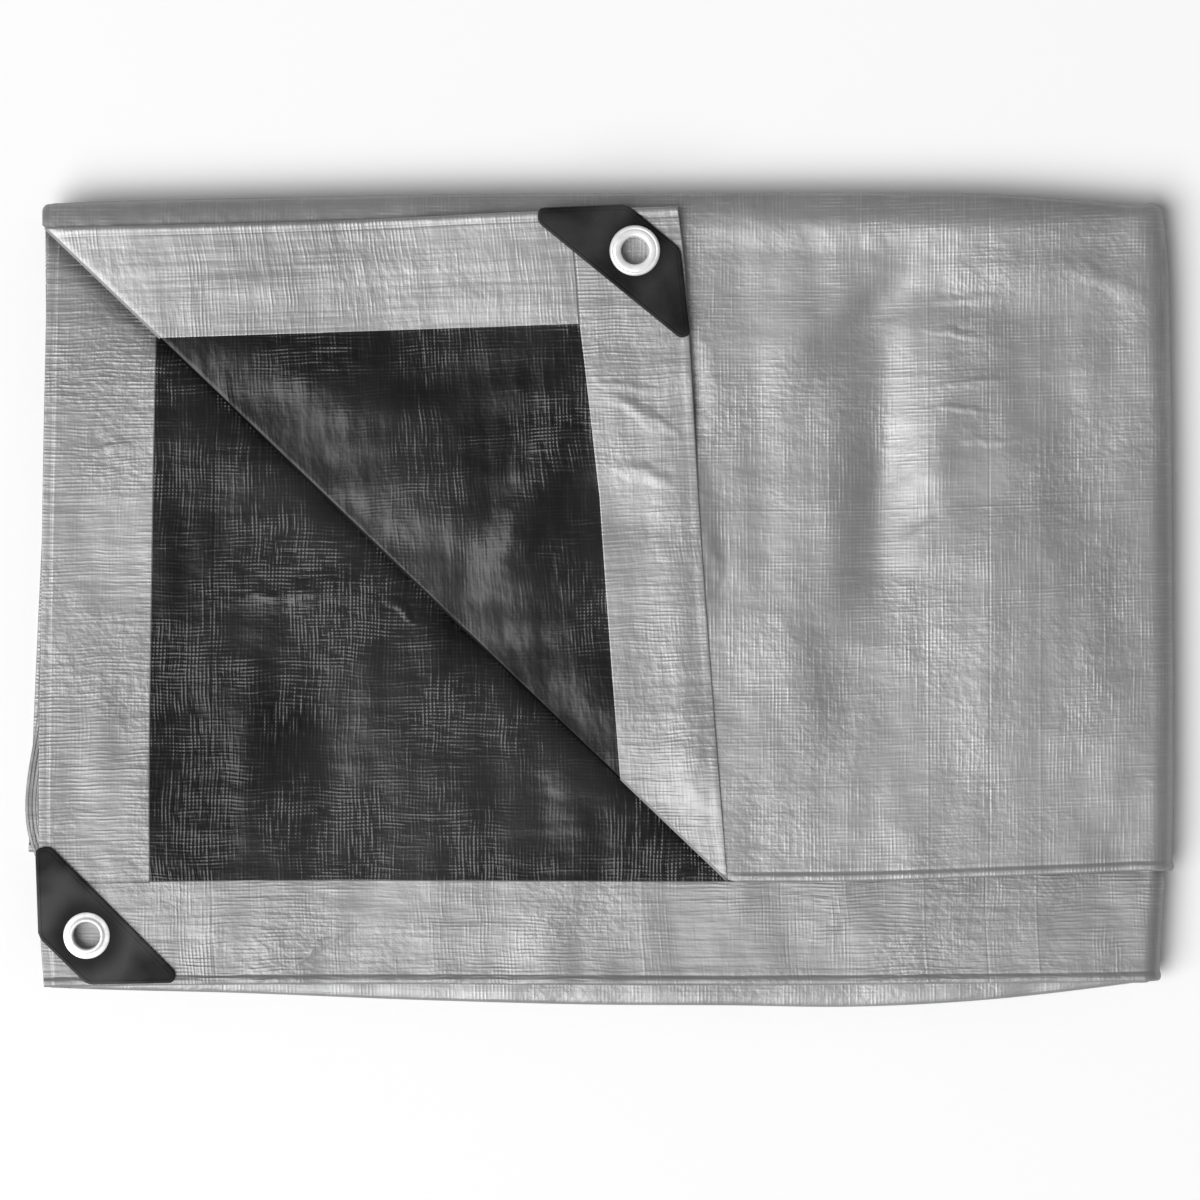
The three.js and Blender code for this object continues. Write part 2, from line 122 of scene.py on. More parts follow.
# The bend's line seen from above, and the section's edges along the row in the upper and lower halves
BEND = table(
    "y x",
    (-180, 238.6),
    (-168, 239.2),
    (-118, 241.9),
    (0, 242.6),
    (96, 241.8),
    (150, 240.4),
    (172, 238.4),
    (180, 237.6),
)
UPPER = table(
    "x top one two fold",
    (-246, 171.6, -124.0, -170.4, -170.9),
    (-244.7, 173.7, -124.0, -170.4, -171.0),
    (-242, 174.6, -124.0, -170.4, -171.1),
    (-236, 175.0, -124.0, -170.3, -171.4),
    (-207, 176.0, -124.0, -169.8, -172.3),
    (-172, 176.8, -124.0, -169.4, -173.1),
    (-75, 178.7, -124.0, -169.3, -176.7),
    (0, 179.3, -124.1, -169.6, -178.6),
    (57, 179.4, -124.1, -169.8, -178.9),
    (114, 179.5, -123.8, -169.5, -179.5),
    (171, 178.9, -121.9, -168.9, -176.6),
    (222, 175.6, -120.0, -168.4, -171.1),
    (238, 174.0, -119.3, -168.1, -169.0),
)
LOWER = table(
    "x top one two fold",
    (-254, 171.5, -111.5, -163.0, -165.5),
    (-120, 174.5, -114.0, -165.0, -169.5),
    (0, 176.0, -116.0, -166.0, -172.0),
    (120, 175.8, -117.5, -166.5, -171.0),
    (238, 174.6, -119.2, -167.6, -168.6),
)

# Free left-hand edges of each layer along Y
UPPER_ENDS = {
    ONE: table("y x", (-124, -245.0), (180, -245.4)),
    TWO: table(
        "y x",
        (-170.4, -244.7),
        (-146.5, -246.4),
        (-108.7, -247.0),
        (17.6, -246.0),
        (161.5, -243.3),
    ),
    THREE: table("y x", (-179, -242.0), (175, -243.5)),
    FOUR: table("y x", (-179, -242.6), (180, -245.0)),
}
LOWER_ENDS = {
    ONE: table("y x", (-120, -253.9), (-44, -251.0), (17.6, -248.2), (132, -242.9), (180, -242.0)),
    TWO: table(
        "y x",
        (-170, -243.2),
        (-122, -246.2),
        (-113, -250.6),
        (-44, -249.0),
        (60, -245.0),
        (180, -242.0),
    ),
    THREE: table("y x", (-180, -240.5), (180, -242.0)),
    FOUR: table("y x", (-180, -240.5), (180, -242.0)),
}

# The corner turned back: its slanting fold, its outer edges and its rise
SLANT_START = np.array([-245.5, 164.1])
SLANT_END = np.array([55.9, -124.1])
SLANT_LENGTH = float(np.linalg.norm(SLANT_END - SLANT_START))
SLANT = (SLANT_END - SLANT_START) / SLANT_LENGTH
ACROSS = np.array([-SLANT[1], SLANT[0]])
FLAP_TOP = table("x y", (-245.5, 163.9), (-120, 166.8), (-20, 171.0), (34.1, 172.9))
FLAP_SIDE = table("y x", (172.9, 34.1), (153.6, 36.5), (116.6, 39.2), (44.9, 43.4), (-124.1, 55.9))
TURN = 0.5
TURN_END = 0.38
TURN_POINTS = 11
FLAP_POINTS = 74
FLAP_LIFT = 4.9
FLAP_REST = 2.0
FLAP_EDGE = 0.66
EDGE_RISES = 16.0
PUFF = {"rise": 1.3, "full": 36.0, "from": 44.0, "gone": 115.0}
FLAP_SETTLES = 30.0
PATCH_NEAR = 52.0
PATCH_FAR = 120.0
SIDE_BEAD = 0.15
END_BEAD = 0.06
FIRST_SLANT = 1.4
LAST_SLANT = 416.2
SIDE_LENGTH = 298.0

# Second layer's raised corner, eyelet centres and the holes in the cloth
SECOND_CORNER = np.array([-244.7, -170.4])
FLAP_CORNER = np.array([34.1, 172.9])
LOWER_EYELET = np.array([-225.8, -147.6])
FLAP_EYELET = np.array([15.3, 153.3])
CORNER_LIFT = 1.9
PRESSED = {"deep": 1.9, "wide": 6.5}
LIFT_INNER = 78.0
LIFT_OUTER = 150.0
CLOTH_HOLE = 7.3
LOWER_LEVEL = MIDDLE + SECOND + CORNER_LIFT
FLAP_LEVEL = FIRST_HEIGHT + FLAP_LIFT
EYELET_HEIGHT = 18.0

# Soft ridges and troughs of the visible panels: place, reach, turn in degrees, rise
PANEL_RELIEF = table(
    "x y wide long turn rise",
    (82, 40, 16, 95, 0, 1.5),
    (124, 55, 18, 75, 0, -1.3),
    (168, 5, 17, 80, 0, 1.1),
    (205, 90, 20, 50, 0, -0.9),
    (100, -70, 22, 26, 0, 0.9),
    (178, -85, 30, 22, 0, -0.8),
    (150, 145, 70, 10, 0, 0.9),
    (250, 20, 42, 260, 0, -1.2),
)
FIRST_RELIEF = table(
    "x y wide long turn rise",
    (140, 165, 95, 8, -1, 1.4),
    (100, 138, 45, 10, 2, -0.5),
    (66, -48, 16, 3.5, -38, 0.5),
    (70, -52, 22, 4, -20, -0.4),
    (145, 10, 24, 5.0, -8, -0.5),
    (106, 132, 9, 24, -48, 1.9),
    (121, 126, 9, 26, -48, -1.9),
    (84, 104, 14, 26, -8, 0.9),
    (178, 128, 34, 9, -12, -0.9),
    (196, 148, 40, 8, -8, 0.8),
    (176, 44, 34, 10, 8, -0.8),
    (118, -18, 16, 12, -30, 0.9),
    (84, -34, 12, 34, 0, 0.8),
    (74, 35, 9, 52, 0, -0.7),
    (101, 38, 12, 50, 2, 1.7),
    (124, 56, 9, 44, -3, -2.0),
    (147, 60, 13, 44, -4, 1.7),
    (138, 38, 6, 9, -30, -0.7),
    (158, 120, 20, 4, 4, 0.35),
    (166, 96, 18, 3.5, -3, 0.3),
    (162, 78, 16, 3, 5, -0.3),
    (190, 60, 12, 30, 10, 0.4),
    (158, -45, 16, 40, 6, 0.5),
    (128, -100, 40, 8, 3, 0.4),
    (210, -30, 12, 60, 0, -0.3),
)
SECOND_RELIEF = table(
    "x y wide long turn rise",
    (-160, -60, 12, 45, 4, 0.8),
    (-120, -75, 14, 40, -6, -0.7),
    (-60, -85, 12, 30, 0, 0.7),
    (-15, -80, 12, 28, 5, 0.6),
    (-100, 10, 40, 6, 5, 0.6),
    (-150, 62, 30, 10, -10, 0.5),
    (-130, -136, 45, 5, 4, 0.5),
    (-60, -146, 40, 4, -3, 0.5),
    (10, -133, 35, 4, 4, 0.4),
    (150, -145, 60, 6, -2, 0.5),
)
FLAP_RELIEF = table(
    "x y wide long turn rise",
    (-28, 42, 12, 50, -24, 1.5),
    (-10, 80, 10, 38, -12, -0.8),
    (-110, 90, 40, 9, -8, 0.6),
    (-60, 100, 30, 8, 12, -0.5),
    (12, 85, 14, 5, -25, 0.5),
    (18, 52, 16, 5, -8, 0.5),
    (-150, 138, 38, 6, 4, 0.6),
    (-80, 142, 34, 7, 2, -0.4),
    (42, -85, 8, 34, 6, 0.6),
)


def eased(rows, key, column, at):
    """A table's column at places of its key, on a smooth curve through the rows."""
    places = np.array([float(row[key]) for row in rows])
    values = np.array([float(row[column]) for row in rows])
    if places[0] > places[-1]:
        places, values = places[::-1], values[::-1]
    if len(places) > 2:
        slopes = np.gradient(values, places)
    else:
        slopes = np.full(2, (values[1] - values[0]) / (places[1] - places[0]))
    at = np.clip(at, places[0], places[-1])
    low = np.clip(np.searchsorted(places, at, side="right") - 1, 0, len(places) - 2)
    gap = places[low + 1] - places[low]
    t = (at - places[low]) / gap
    stay = 2 * t**3 - 3 * t**2 + 1
    leave = t**3 - 2 * t**2 + t
    arrive = t**3 - t**2
    return (
        stay * values[low]
        + (1 - stay) * values[low + 1]
        + leave * gap * slopes[low]
        + arrive * gap * slopes[low + 1]
    )


def smooth(value, low, high):
    """0 at low, 1 at high, eased between."""
    t = np.clip((value - low) / (high - low), 0.0, 1.0)
    return t * t * (3 - 2 * t)


def relief(rows, x, y):
    """Soft ridges and troughs at places seen from above."""
    total = np.zeros(np.broadcast(x, y).shape)
    for row in rows:
        turn = math.radians(row["turn"])
        dx, dy = x - row["x"], y - row["y"]
        across = (dx * math.cos(turn) + dy * math.sin(turn)) / row["wide"]
        along = (dy * math.cos(turn) - dx * math.sin(turn)) / row["long"]
        total += row["rise"] * np.exp(-(across**2) - along**2)
    return total


def edge_half(distance, share=1.0):
    """Half the cloth's thickness at a distance from a hemmed edge, with a share of the hem's bead."""
    places = [row["at"] for row in EDGE_PROFILE]
    halves = [row["half"] for row in EDGE_PROFILE]
    return PLAIN_HALF + share * (np.interp(distance, places, halves) - PLAIN_HALF)


def corner_lift(x, y):
    away = np.hypot(x - SECOND_CORNER[0], y - SECOND_CORNER[1])
    return CORNER_LIFT * (1 - smooth(away, LIFT_INNER, LIFT_OUTER))


def spaced_run(start, end, count):
    """Places from an edge to a fold, close together near the edge. One row for each station."""
    length = np.maximum(end - start, 0.05)
    scale = np.minimum(1.0, length / MARKED_RUN)
    marks = np.array(EDGE_MARKS)[None, :] * scale[:, None]
    rest = count - len(EDGE_MARKS)
    share = np.arange(1, rest + 1) / (rest + 1)
    last = marks[:, -1:]
    far = last + (length[:, None] - last) * share[None, :]
    return start[:, None] + np.concatenate([marks, far], axis=1)


def fold_arc(tip, reach, from_level, to_level, count):
    """A rounded fold between two levels. reach is signed: positive towards +Y."""
    angle = np.linspace(0, math.pi, count)[None, :]
    side = np.sign(reach)
    centre = (tip - side * PLAIN_HALF - reach)[:, None]
    y = centre + reach[:, None] * np.sin(angle)
    h = (from_level + to_level) / 2 + (from_level - to_level) / 2 * np.cos(angle)
    return y, np.broadcast_to(h, y.shape)


def section(edges, start, hemmed):
    """The back-and-forth section at each station, and what goes with its points."""
    top, one, two, fold = edges["top"], edges["one"], edges["two"], edges["fold"]
    reach = np.minimum(edges["reach"], top - PLAIN_HALF - start - LEAST_RUN)
    lower_reach, inner_reach = np.full_like(top, -LOWER_FOLD), np.full_like(top, INNER_FOLD)
    outer_y, outer_h = fold_arc(top, reach, FIRST, FOURTH, OUTER_POINTS)
    lower_y, lower_h = fold_arc(fold, lower_reach, FOURTH, THIRD, LOWER_POINTS)
    inner_y, inner_h = fold_arc(top - FOLD_INSET, inner_reach, THIRD, SECOND, INNER_POINTS)
    share = (np.arange(1, HIDDEN_POINTS + 1) / (HIDDEN_POINTS + 1))[None, :]
    run_one = spaced_run(start, outer_y[:, 0], RUN_POINTS)
    run_four = outer_y[:, -1:] + (lower_y[:, :1] - outer_y[:, -1:]) * share
    run_three = lower_y[:, -1:] + (inner_y[:, :1] - lower_y[:, -1:]) * share
    run_two = spaced_run(two, inner_y[:, -1], RUN_POINTS)[:, ::-1]
    stretches = table(
        "y h before after",
        (run_one, np.full_like(run_one, FIRST), ONE, ONE),
        (outer_y, outer_h, ONE, FOUR),
        (run_four, np.full_like(run_four, FOURTH), FOUR, FOUR),
        (lower_y, lower_h, FOUR, THREE),
        (run_three, np.full_like(run_three, THIRD), THREE, THREE),
        (inner_y, inner_h, THREE, TWO),
        (run_two, np.full_like(run_two, SECOND), TWO, TWO),
    )
    y = np.concatenate([stretch["y"] for stretch in stretches], axis=1)
    h = np.concatenate([stretch["h"] for stretch in stretches], axis=1)
    layers = []
    for stretch in stretches:
        count = stretch["y"].shape[1]
        layers += [stretch["before"] if at * 2 < count else stretch["after"] for at in range(count)]
    far = np.full_like(y, NO_HEM)
    far[:, :RUN_POINTS] = y[:, :RUN_POINTS] - one[:, None]
    far[:, -RUN_POINTS:] = y[:, -RUN_POINTS:] - two[:, None]
    half = np.full_like(y, PLAIN_HALF)
    first_half = edge_half(y[:, :RUN_POINTS] - start[:, None])
    half[:, :RUN_POINTS] = PLAIN_HALF + (first_half - PLAIN_HALF) * hemmed[:, None]
    half[:, -RUN_POINTS:] = edge_half(far[:, -RUN_POINTS:])
    places = cloth_places(y, h, start - one)
    return {"y": y, "h": h, "half": half, "layers": np.array(layers), "far": far, "s": places}


def cloth_places(y, h, lead):
    """Each point's place along the cloth's width, true to length from both hems."""
    steps = np.hypot(np.diff(y), np.diff(h))
    length = np.concatenate([np.zeros((len(y), 1)), np.cumsum(steps, axis=1)], axis=1)
    forward = length + lead[:, None]
    backward = CLOTH_WIDTH - (length[:, -1:] - length)
    place = np.arange(y.shape[1]) - RUN_POINTS - OUTER_POINTS
    share = smooth(place / (2.0 * HIDDEN_POINTS + LOWER_POINTS), 0.0, 1.0)[None, :]
    return forward * (1 - share) + backward * share


def turn_radius(t):
    """Radius of the slanting fold, pressed flat at both its ends."""
    return TURN_END + (TURN - TURN_END) * smooth(t, 0, 25) * smooth(SLANT_LENGTH - t, 0, 30)


def slant_seats(t):
    """Where the first layer's remaining panel meets the slanting fold, seen from above."""
    inward = turn_radius(t) + PLAIN_HALF
    return SLANT_START + SLANT * t[:, None] + ACROSS * inward[:, None]


def flap_places():
    """Distances along the slanting fold of the turned corner's rows, and their shares down its side edge."""
    first = np.array(EDGE_MARKS)
    rest = np.linspace(first[-1], SIDE_LENGTH, 72)[1:]
    shares = np.concatenate([first, rest]) / SIDE_LENGTH
    return FIRST_SLANT + (LAST_SLANT - FIRST_SLANT) * shares, shares


def ends_at(ends, layers, y):
    """The free left end of each point's layer."""
    x = np.zeros_like(y)
    for layer, rows in ends.items():
        chosen = np.broadcast_to(layers == layer, y.shape)
        x[chosen] = eased(rows, "y", "x", y[chosen])
    return x


def edge_rows(rows, x):
    """The section's edges and the outer fold's reach at places along the row."""
    edges = {column: eased(rows, "x", column, x) for column in ("top", "one", "two", "fold")}
    edges["reach"] = eased(OUTER_REACH, "x", "reach", x)
    return edges


def edge_ripple(layers, y, distance):
    """Loose layers stand a little apart at their free ends."""
    phase = np.array([0.0, 1.9, 3.7, 5.2])[layers][None, :]
    wave = 0.45 * np.sin(y / 31.0 + phase) + 0.25 * np.sin(y / 13.0 + 2.3 * phase)
    return wave * np.exp(-distance / 45.0)


def stations(seats):
    """Places of the upper half's sections along the row, and which of them meet the slanting fold."""
    left = UPPER_ENDS[ONE][1]["x"]
    bend_at_seat = eased(BEND, "y", "x", seats[:, 1])
    seat_share = (seats[:, 0] - left) / (bend_at_seat - left)
    lead = np.array([0.0, 0.5, 1.1, 1.7]) / (bend_at_seat[0] - left)
    lead = lead[lead < seat_share[0] - 0.0005]
    beyond = np.linspace(seat_share[-1], 1.0, 48)[1:]
    shares = np.concatenate([lead, seat_share, beyond])
    return shares, left + shares * (BEND_X - left), slice(len(lead), len(lead) + len(seats))


def second_layer_height(x, y):
    """What the second layer has of its own: relief, its raised corner and the dip under the slanting fold."""
    away = smooth(np.hypot(x - SECOND_CORNER[0], y - SECOND_CORNER[1]), LIFT_INNER, LIFT_OUTER)
    below = -((x - SLANT_START[0]) * ACROSS[0] + (y - SLANT_START[1]) * ACROSS[1])
    dip = PRESSED["deep"] * np.exp(-np.maximum(below, 0) / PRESSED["wide"]) * smooth(y, -124, -100)
    return relief(SECOND_RELIEF, x, y) * away - dip


def upper_half(seats):
    """The four upper layers, from their free ends to the bend."""
    shares, x_guess, seat_rows = stations(seats)
    edges = edge_rows(UPPER, x_guess)
    start = edges["one"].copy()
    start[seat_rows] = seats[:, 1]
    before, after = slice(0, seat_rows.start), slice(seat_rows.stop, None)
    start[before] = seats[0, 1] + (seats[0, 0] - x_guess[before]) * -SLANT[1] / SLANT[0]
    hemmed = np.zeros_like(start)
    hemmed[after] = smooth(x_guess[after], seats[-1, 0], seats[-1, 0] + 8)
    rows = section(edges, start, hemmed)
    y, h, layers = rows["y"], rows["h"], rows["layers"]
    low_x = ends_at(UPPER_ENDS, layers, y)
    x = low_x + (eased(BEND, "y", "x", y) - low_x) * shares[:, None]
    end = x - low_x
    z = MIDDLE + h + relief(PANEL_RELIEF, x, y) * h / FIRST
    z += np.where(layers == ONE, relief(FIRST_RELIEF, x, y) * smooth(h, FIRST - 2, FIRST), 0)
    z += np.where((layers == TWO) & (h > SECOND - 1), second_layer_height(x, y), 0)
    z += np.where(layers == TWO, corner_lift(x, y), 0)
    z += np.where((layers == THREE) | (layers == FOUR), edge_ripple(layers, y, end), 0)
    end_half = np.where(layers == ONE, PLAIN_HALF, edge_half(end, END_BEAD))
    half = np.maximum(rows["half"], end_half)
    return {**rows, "x": x, "z": z, "half": half, "end": end, "v": end}, seat_rows


def bend(bend_v):
    """The half turn at the right, where the pack is folded end to end."""
    angles = np.linspace(0, math.pi, 17)[1:-1]
    mix = angles / math.pi
    upper_edge = edge_rows(UPPER, np.array([BEND_ROW]))
    lower_edge = edge_rows(LOWER, np.array([BEND_ROW]))
    edges = {key: upper_edge[key] + (lower_edge[key] - upper_edge[key]) * mix for key in upper_edge}
    from_peak = (angles * 180 / math.pi - CORNER_PEAK["at"]) / CORNER_PEAK["wide"]
    edges["top"] = edges["top"] + CORNER_PEAK["rise"] * np.exp(-(from_peak**2))
    rows = section(edges, edges["one"].copy(), np.ones(len(angles)))
    y, h = rows["y"], rows["h"]
    angle = angles[:, None]
    x = eased(BEND, "y", "x", y) + h * np.sin(angle)
    z = MIDDLE + h * np.cos(angle) - FLATTENED * smooth(h, 8.5, FIRST) * smooth(mix[:, None], 0.7, 1.0)
    z += relief(PANEL_RELIEF, np.full_like(y, BEND_RIDGES), y) * h / FIRST * np.cos(angle / 2) ** 4
    arc = bend_v[None, :] + h * angle
    return {**rows, "x": x, "z": z, "end": np.full_like(y, NO_END), "v": arc}


def lower_half(bend_v):
    """The four lower layers, from the bend back to their free ends."""
    marks = np.array(EDGE_MARKS) / (BEND_X - LOWER_LEFT)
    shares = np.concatenate([np.linspace(1.0, marks[-1], 26), marks[::-1][1:]])
    edges = edge_rows(LOWER, LOWER_LEFT + shares * (BEND_X - LOWER_LEFT))
    rows = section(edges, edges["one"].copy(), np.ones(len(shares)))
    y, h, layers = rows["y"], rows["h"], rows["layers"]
    low_x = ends_at(LOWER_ENDS, layers, y)
    high_x = eased(BEND, "y", "x", y)
    x = low_x + (high_x - low_x) * shares[:, None]
    end = x - low_x
    half = np.maximum(rows["half"], edge_half(end, END_BEAD))
    z = MIDDLE - h - FLATTENED * smooth(h, 8.5, FIRST)
    z += np.where(layers == ONE, 0.0, edge_ripple(layers, y + 20, end))
    z = np.maximum(z, half)
    v = bend_v[None, :] + h * math.pi + (high_x - x)
    return {**rows, "x": x, "z": z, "half": half, "end": end, "v": v}


def main_grid(seats):
    """The pack's folded sheet: points by station and place along the section, with what goes with them."""
    upper, seat_rows = upper_half(seats)
    bend_v = upper["end"][-1]
    blocks = [upper, bend(bend_v), lower_half(bend_v)]
    return {key: np.concatenate([block[key] for block in blocks]) for key in GRID_MAPS}, seat_rows


def flap_grid(places, shares, seats):
    """The turned corner: rows from its side edge back to the slanting fold, then round that fold."""
    side_y = FLAP_SIDE[0]["y"] + (FLAP_SIDE[-1]["y"] - FLAP_SIDE[0]["y"]) * shares
    side = np.stack([eased(FLAP_SIDE, "y", "x", side_y), side_y], axis=1)
    length = np.linalg.norm(side - seats, axis=1)
    run = spaced_run(np.zeros_like(length), length, FLAP_POINTS)
    run = np.minimum(run, length[:, None])
    down = SIDE_LENGTH * shares[:, None]
    toward = (seats - side) / np.maximum(length, 1e-6)[:, None]
    x = side[:, :1] + toward[:, :1] * run
    y = side[:, 1:] + toward[:, 1:] * run
    slope = (side[0, 1] - seats[0, 1]) / (side[0, 0] - seats[0, 0])
    straight = seats[0, 1] + (x - seats[0, 0]) * slope
    bow = eased(FLAP_TOP, "x", "y", np.clip(x, FLAP_TOP[0]["x"], FLAP_TOP[-1]["x"])) - straight
    fade = np.clip(1 - 4 * shares, 0, 1)[:, None] ** 2
    y = y + bow * fade * smooth(run, 0, 15) * smooth(length[:, None] - run, 0, 15)
    radius = turn_radius(places)[:, None]
    away = (x - SLANT_START[0]) * ACROSS[0] + (y - SLANT_START[1]) * ACROSS[1]
    away = away - radius - PLAIN_HALF
    ground = FIRST_HEIGHT + relief(PANEL_RELIEF, x, y)
    settled = 1 - np.exp(-np.maximum(away, 0) / FLAP_SETTLES)
    from_eyelet = np.hypot(x - FLAP_EYELET[0], y - FLAP_EYELET[1])
    rest = FLAP_EDGE + (FLAP_REST - FLAP_EDGE) * smooth(run, 0, EDGE_RISES)
    lift = rest + (FLAP_LIFT - rest) * (1 - smooth(from_eyelet, PATCH_NEAR, PATCH_FAR))
    z = ground + 2 * radius + (lift - 2 * radius) * settled
    corner = smooth(from_eyelet, 42, 80)
    z += relief(FLAP_RELIEF, x, y) * smooth(away, 4, 30) * corner
    puff = smooth(away, 0, PUFF["full"]) * (1 - smooth(away, PUFF["from"], PUFF["gone"]))
    z += PUFF["rise"] * puff * smooth(run, 20, 62) * smooth(down, 34, 74)
    half = np.maximum(edge_half(run, SIDE_BEAD), edge_half(down))
    half = np.minimum(half, PLAIN_HALF + 0.1 * length[:, None])
    angle = np.linspace(math.pi, 0, TURN_POINTS + 2)[None, 1:]
    turn_x = seats[:, :1] - ACROSS[0] * radius * np.sin(angle)
    turn_y = seats[:, 1:] - ACROSS[1] * radius * np.sin(angle)
    seat_ground = FIRST_HEIGHT + relief(PANEL_RELIEF, seats[:, :1], seats[:, 1:])
    turn_z = seat_ground + radius * (1 - np.cos(angle))
    turn_run = length[:, None] + radius * (math.pi - angle)
    return {
        "x": np.concatenate([x, turn_x], axis=1),
        "y": np.concatenate([y, turn_y], axis=1),
        "z": np.concatenate([z, turn_z], axis=1),
        "half": np.concatenate([half, np.full_like(turn_x, PLAIN_HALF)], axis=1),
        "far": np.concatenate([run, turn_run], axis=1),
        "end": np.concatenate([down + np.zeros_like(run), down + np.zeros_like(turn_run)], axis=1),
    }


def grid_points(grid):
    return np.stack([grid["x"], grid["y"], grid["z"]], axis=-1)


def grid_normals(points):
    """Unit normals on the silver side of a grid of stations and section places."""
    normal = np.cross(np.gradient(points, axis=0), np.gradient(points, axis=1))
    size = np.linalg.norm(normal, axis=-1, keepdims=True)
    return normal / np.maximum(size, 1e-9)


def grid_cells(ids):
    """Quads of a grid of vertex numbers, facing its silver side."""
    cells = np.stack([ids[:-1, :-1], ids[1:, :-1], ids[1:, 1:], ids[:-1, 1:]], axis=-1)
    return cells.reshape(-1, 4)


def open_hole(points, cells, centre, chosen):
    """Takes out the cells round an eyelet, and draws their rim onto the hole's circle."""
    away = np.hypot(points[:, 0] - centre[0], points[:, 1] - centre[1])
    inside = (away < CLOTH_HOLE) & chosen
    gone = inside[cells].any(axis=1)
    rim = np.unique(cells[gone])
    rim = rim[~inside[rim]]
    step = (CLOTH_HOLE / away[rim])[:, None]
    points[rim, :2] = centre + (points[rim, :2] - centre) * step
    return gone


def add_object(name, data):
    obj = bpy.data.objects.new(name, data)
    bpy.context.collection.objects.link(obj)
    return obj


def shell_faces(cells, total):
    """The silver side, the black side and the strips round every border that join them."""
    edges = np.concatenate([cells[:, [at, (at + 1) % 4]] for at in range(4)])
    keys = edges.min(axis=1).astype(np.int64) * total + edges.max(axis=1)
    _, index, counts = np.unique(keys, return_index=True, return_counts=True)
    border = edges[index[counts == 1]]
    rims = np.stack([border[:, 1], border[:, 0], border[:, 0] + total, border[:, 1] + total], axis=1)
    return np.concatenate([cells, cells[:, ::-1] + total, rims]), len(rims)


def add_maps(mesh, main, flap, flap_ids, faces, uses_flap, total):
    """Places on the cloth for the weave, and distances from its edges for the hems, in metres."""
    owner = np.where(faces >= total, faces - total, faces)
    maps = {
        "weave": {"main": (main["s"], main["v"]), "flap": (flap["far"], flap["end"])},
        "edges": {"main": (main["end"], main["far"]), "flap": (flap["end"], flap["far"])},
    }
    for name, sources in maps.items():
        values, flap_values = np.zeros((total, 2)), np.zeros((total, 2))
        for axis in (0, 1):
            values[: main["x"].size, axis] = sources["main"][axis].ravel()
            flap_values[flap_ids.ravel(), axis] = sources["flap"][axis].ravel()
        loops = np.where(uses_flap[:, None, None], flap_values[owner], values[owner])
        mesh.uv_layers.new(name=name).data.foreach_set("uv", (loops * MM).ravel())


def build_tarp(materials):
    """The whole sheet as one closed shell: silver on one side, black on the other."""
    places, shares = flap_places()
    seats = slant_seats(places)
    main, seat_rows = main_grid(seats)
    flap = flap_grid(places, shares, seats)
    main_points, flap_points = grid_points(main), grid_points(flap)
    flap_points[:, -1] = main_points[seat_rows, 0]
    main_normals, flap_normals = grid_normals(main_points), grid_normals(flap_points)
    main_ids = np.arange(main["x"].size).reshape(main["x"].shape)
    rows, width = flap["x"].shape
    flap_ids = main_ids.size + np.arange(rows * (width - 1)).reshape(rows, width - 1)
    flap_ids = np.concatenate([flap_ids, main_ids[seat_rows, :1]], axis=1)
    middle = np.concatenate([main_points.reshape(-1, 3), flap_points[:, :-1].reshape(-1, 3)])
    normal = np.concatenate([main_normals.reshape(-1, 3), flap_normals[:, :-1].reshape(-1, 3)])
    half = np.concatenate([main["half"].ravel(), flap["half"][:, :-1].ravel()])
    total = len(middle)

    main_cells = grid_cells(main_ids)
    cells = np.concatenate([main_cells, grid_cells(flap_ids)])
    is_flap = np.arange(len(cells)) >= len(main_cells)
    low_panel = np.zeros(total, bool)
    low_panel[main_ids[: seat_rows.stop + 40, -RUN_POINTS:].ravel()] = True
    gone = open_hole(middle, cells, LOWER_EYELET, low_panel)
    gone |= open_hole(middle, cells, FLAP_EYELET, np.arange(total) >= main_ids.size)
    cells, is_flap = cells[~gone], is_flap[~gone]
    vertices = np.concatenate([middle + normal * half[:, None], middle - normal * half[:, None]])
    vertices[:, 2] = np.maximum(vertices[:, 2], 0.0)
    faces, rims = shell_faces(cells, total)
    slots = np.concatenate([np.zeros(len(cells), int), np.where(is_flap, 2, 1), np.zeros(rims, int)])
    uses_flap = np.concatenate([is_flap, is_flap, np.zeros(rims, bool)])

    used = np.unique(faces)
    renumber = np.full(2 * total, -1)
    renumber[used] = np.arange(len(used))
    mesh = bpy.data.meshes.new("tarp_sheet")
    mesh.from_pydata((vertices[used] * MM).tolist(), [], renumber[faces].tolist())
    for material in materials:
        mesh.materials.append(material)
    mesh.polygons.foreach_set("material_index", slots)
    mesh.polygons.foreach_set("use_smooth", np.ones(len(faces), bool))
    add_maps(mesh, main, flap, flap_ids, faces, uses_flap, total)
    mesh.update()
    return add_object("tarp_sheet", mesh)


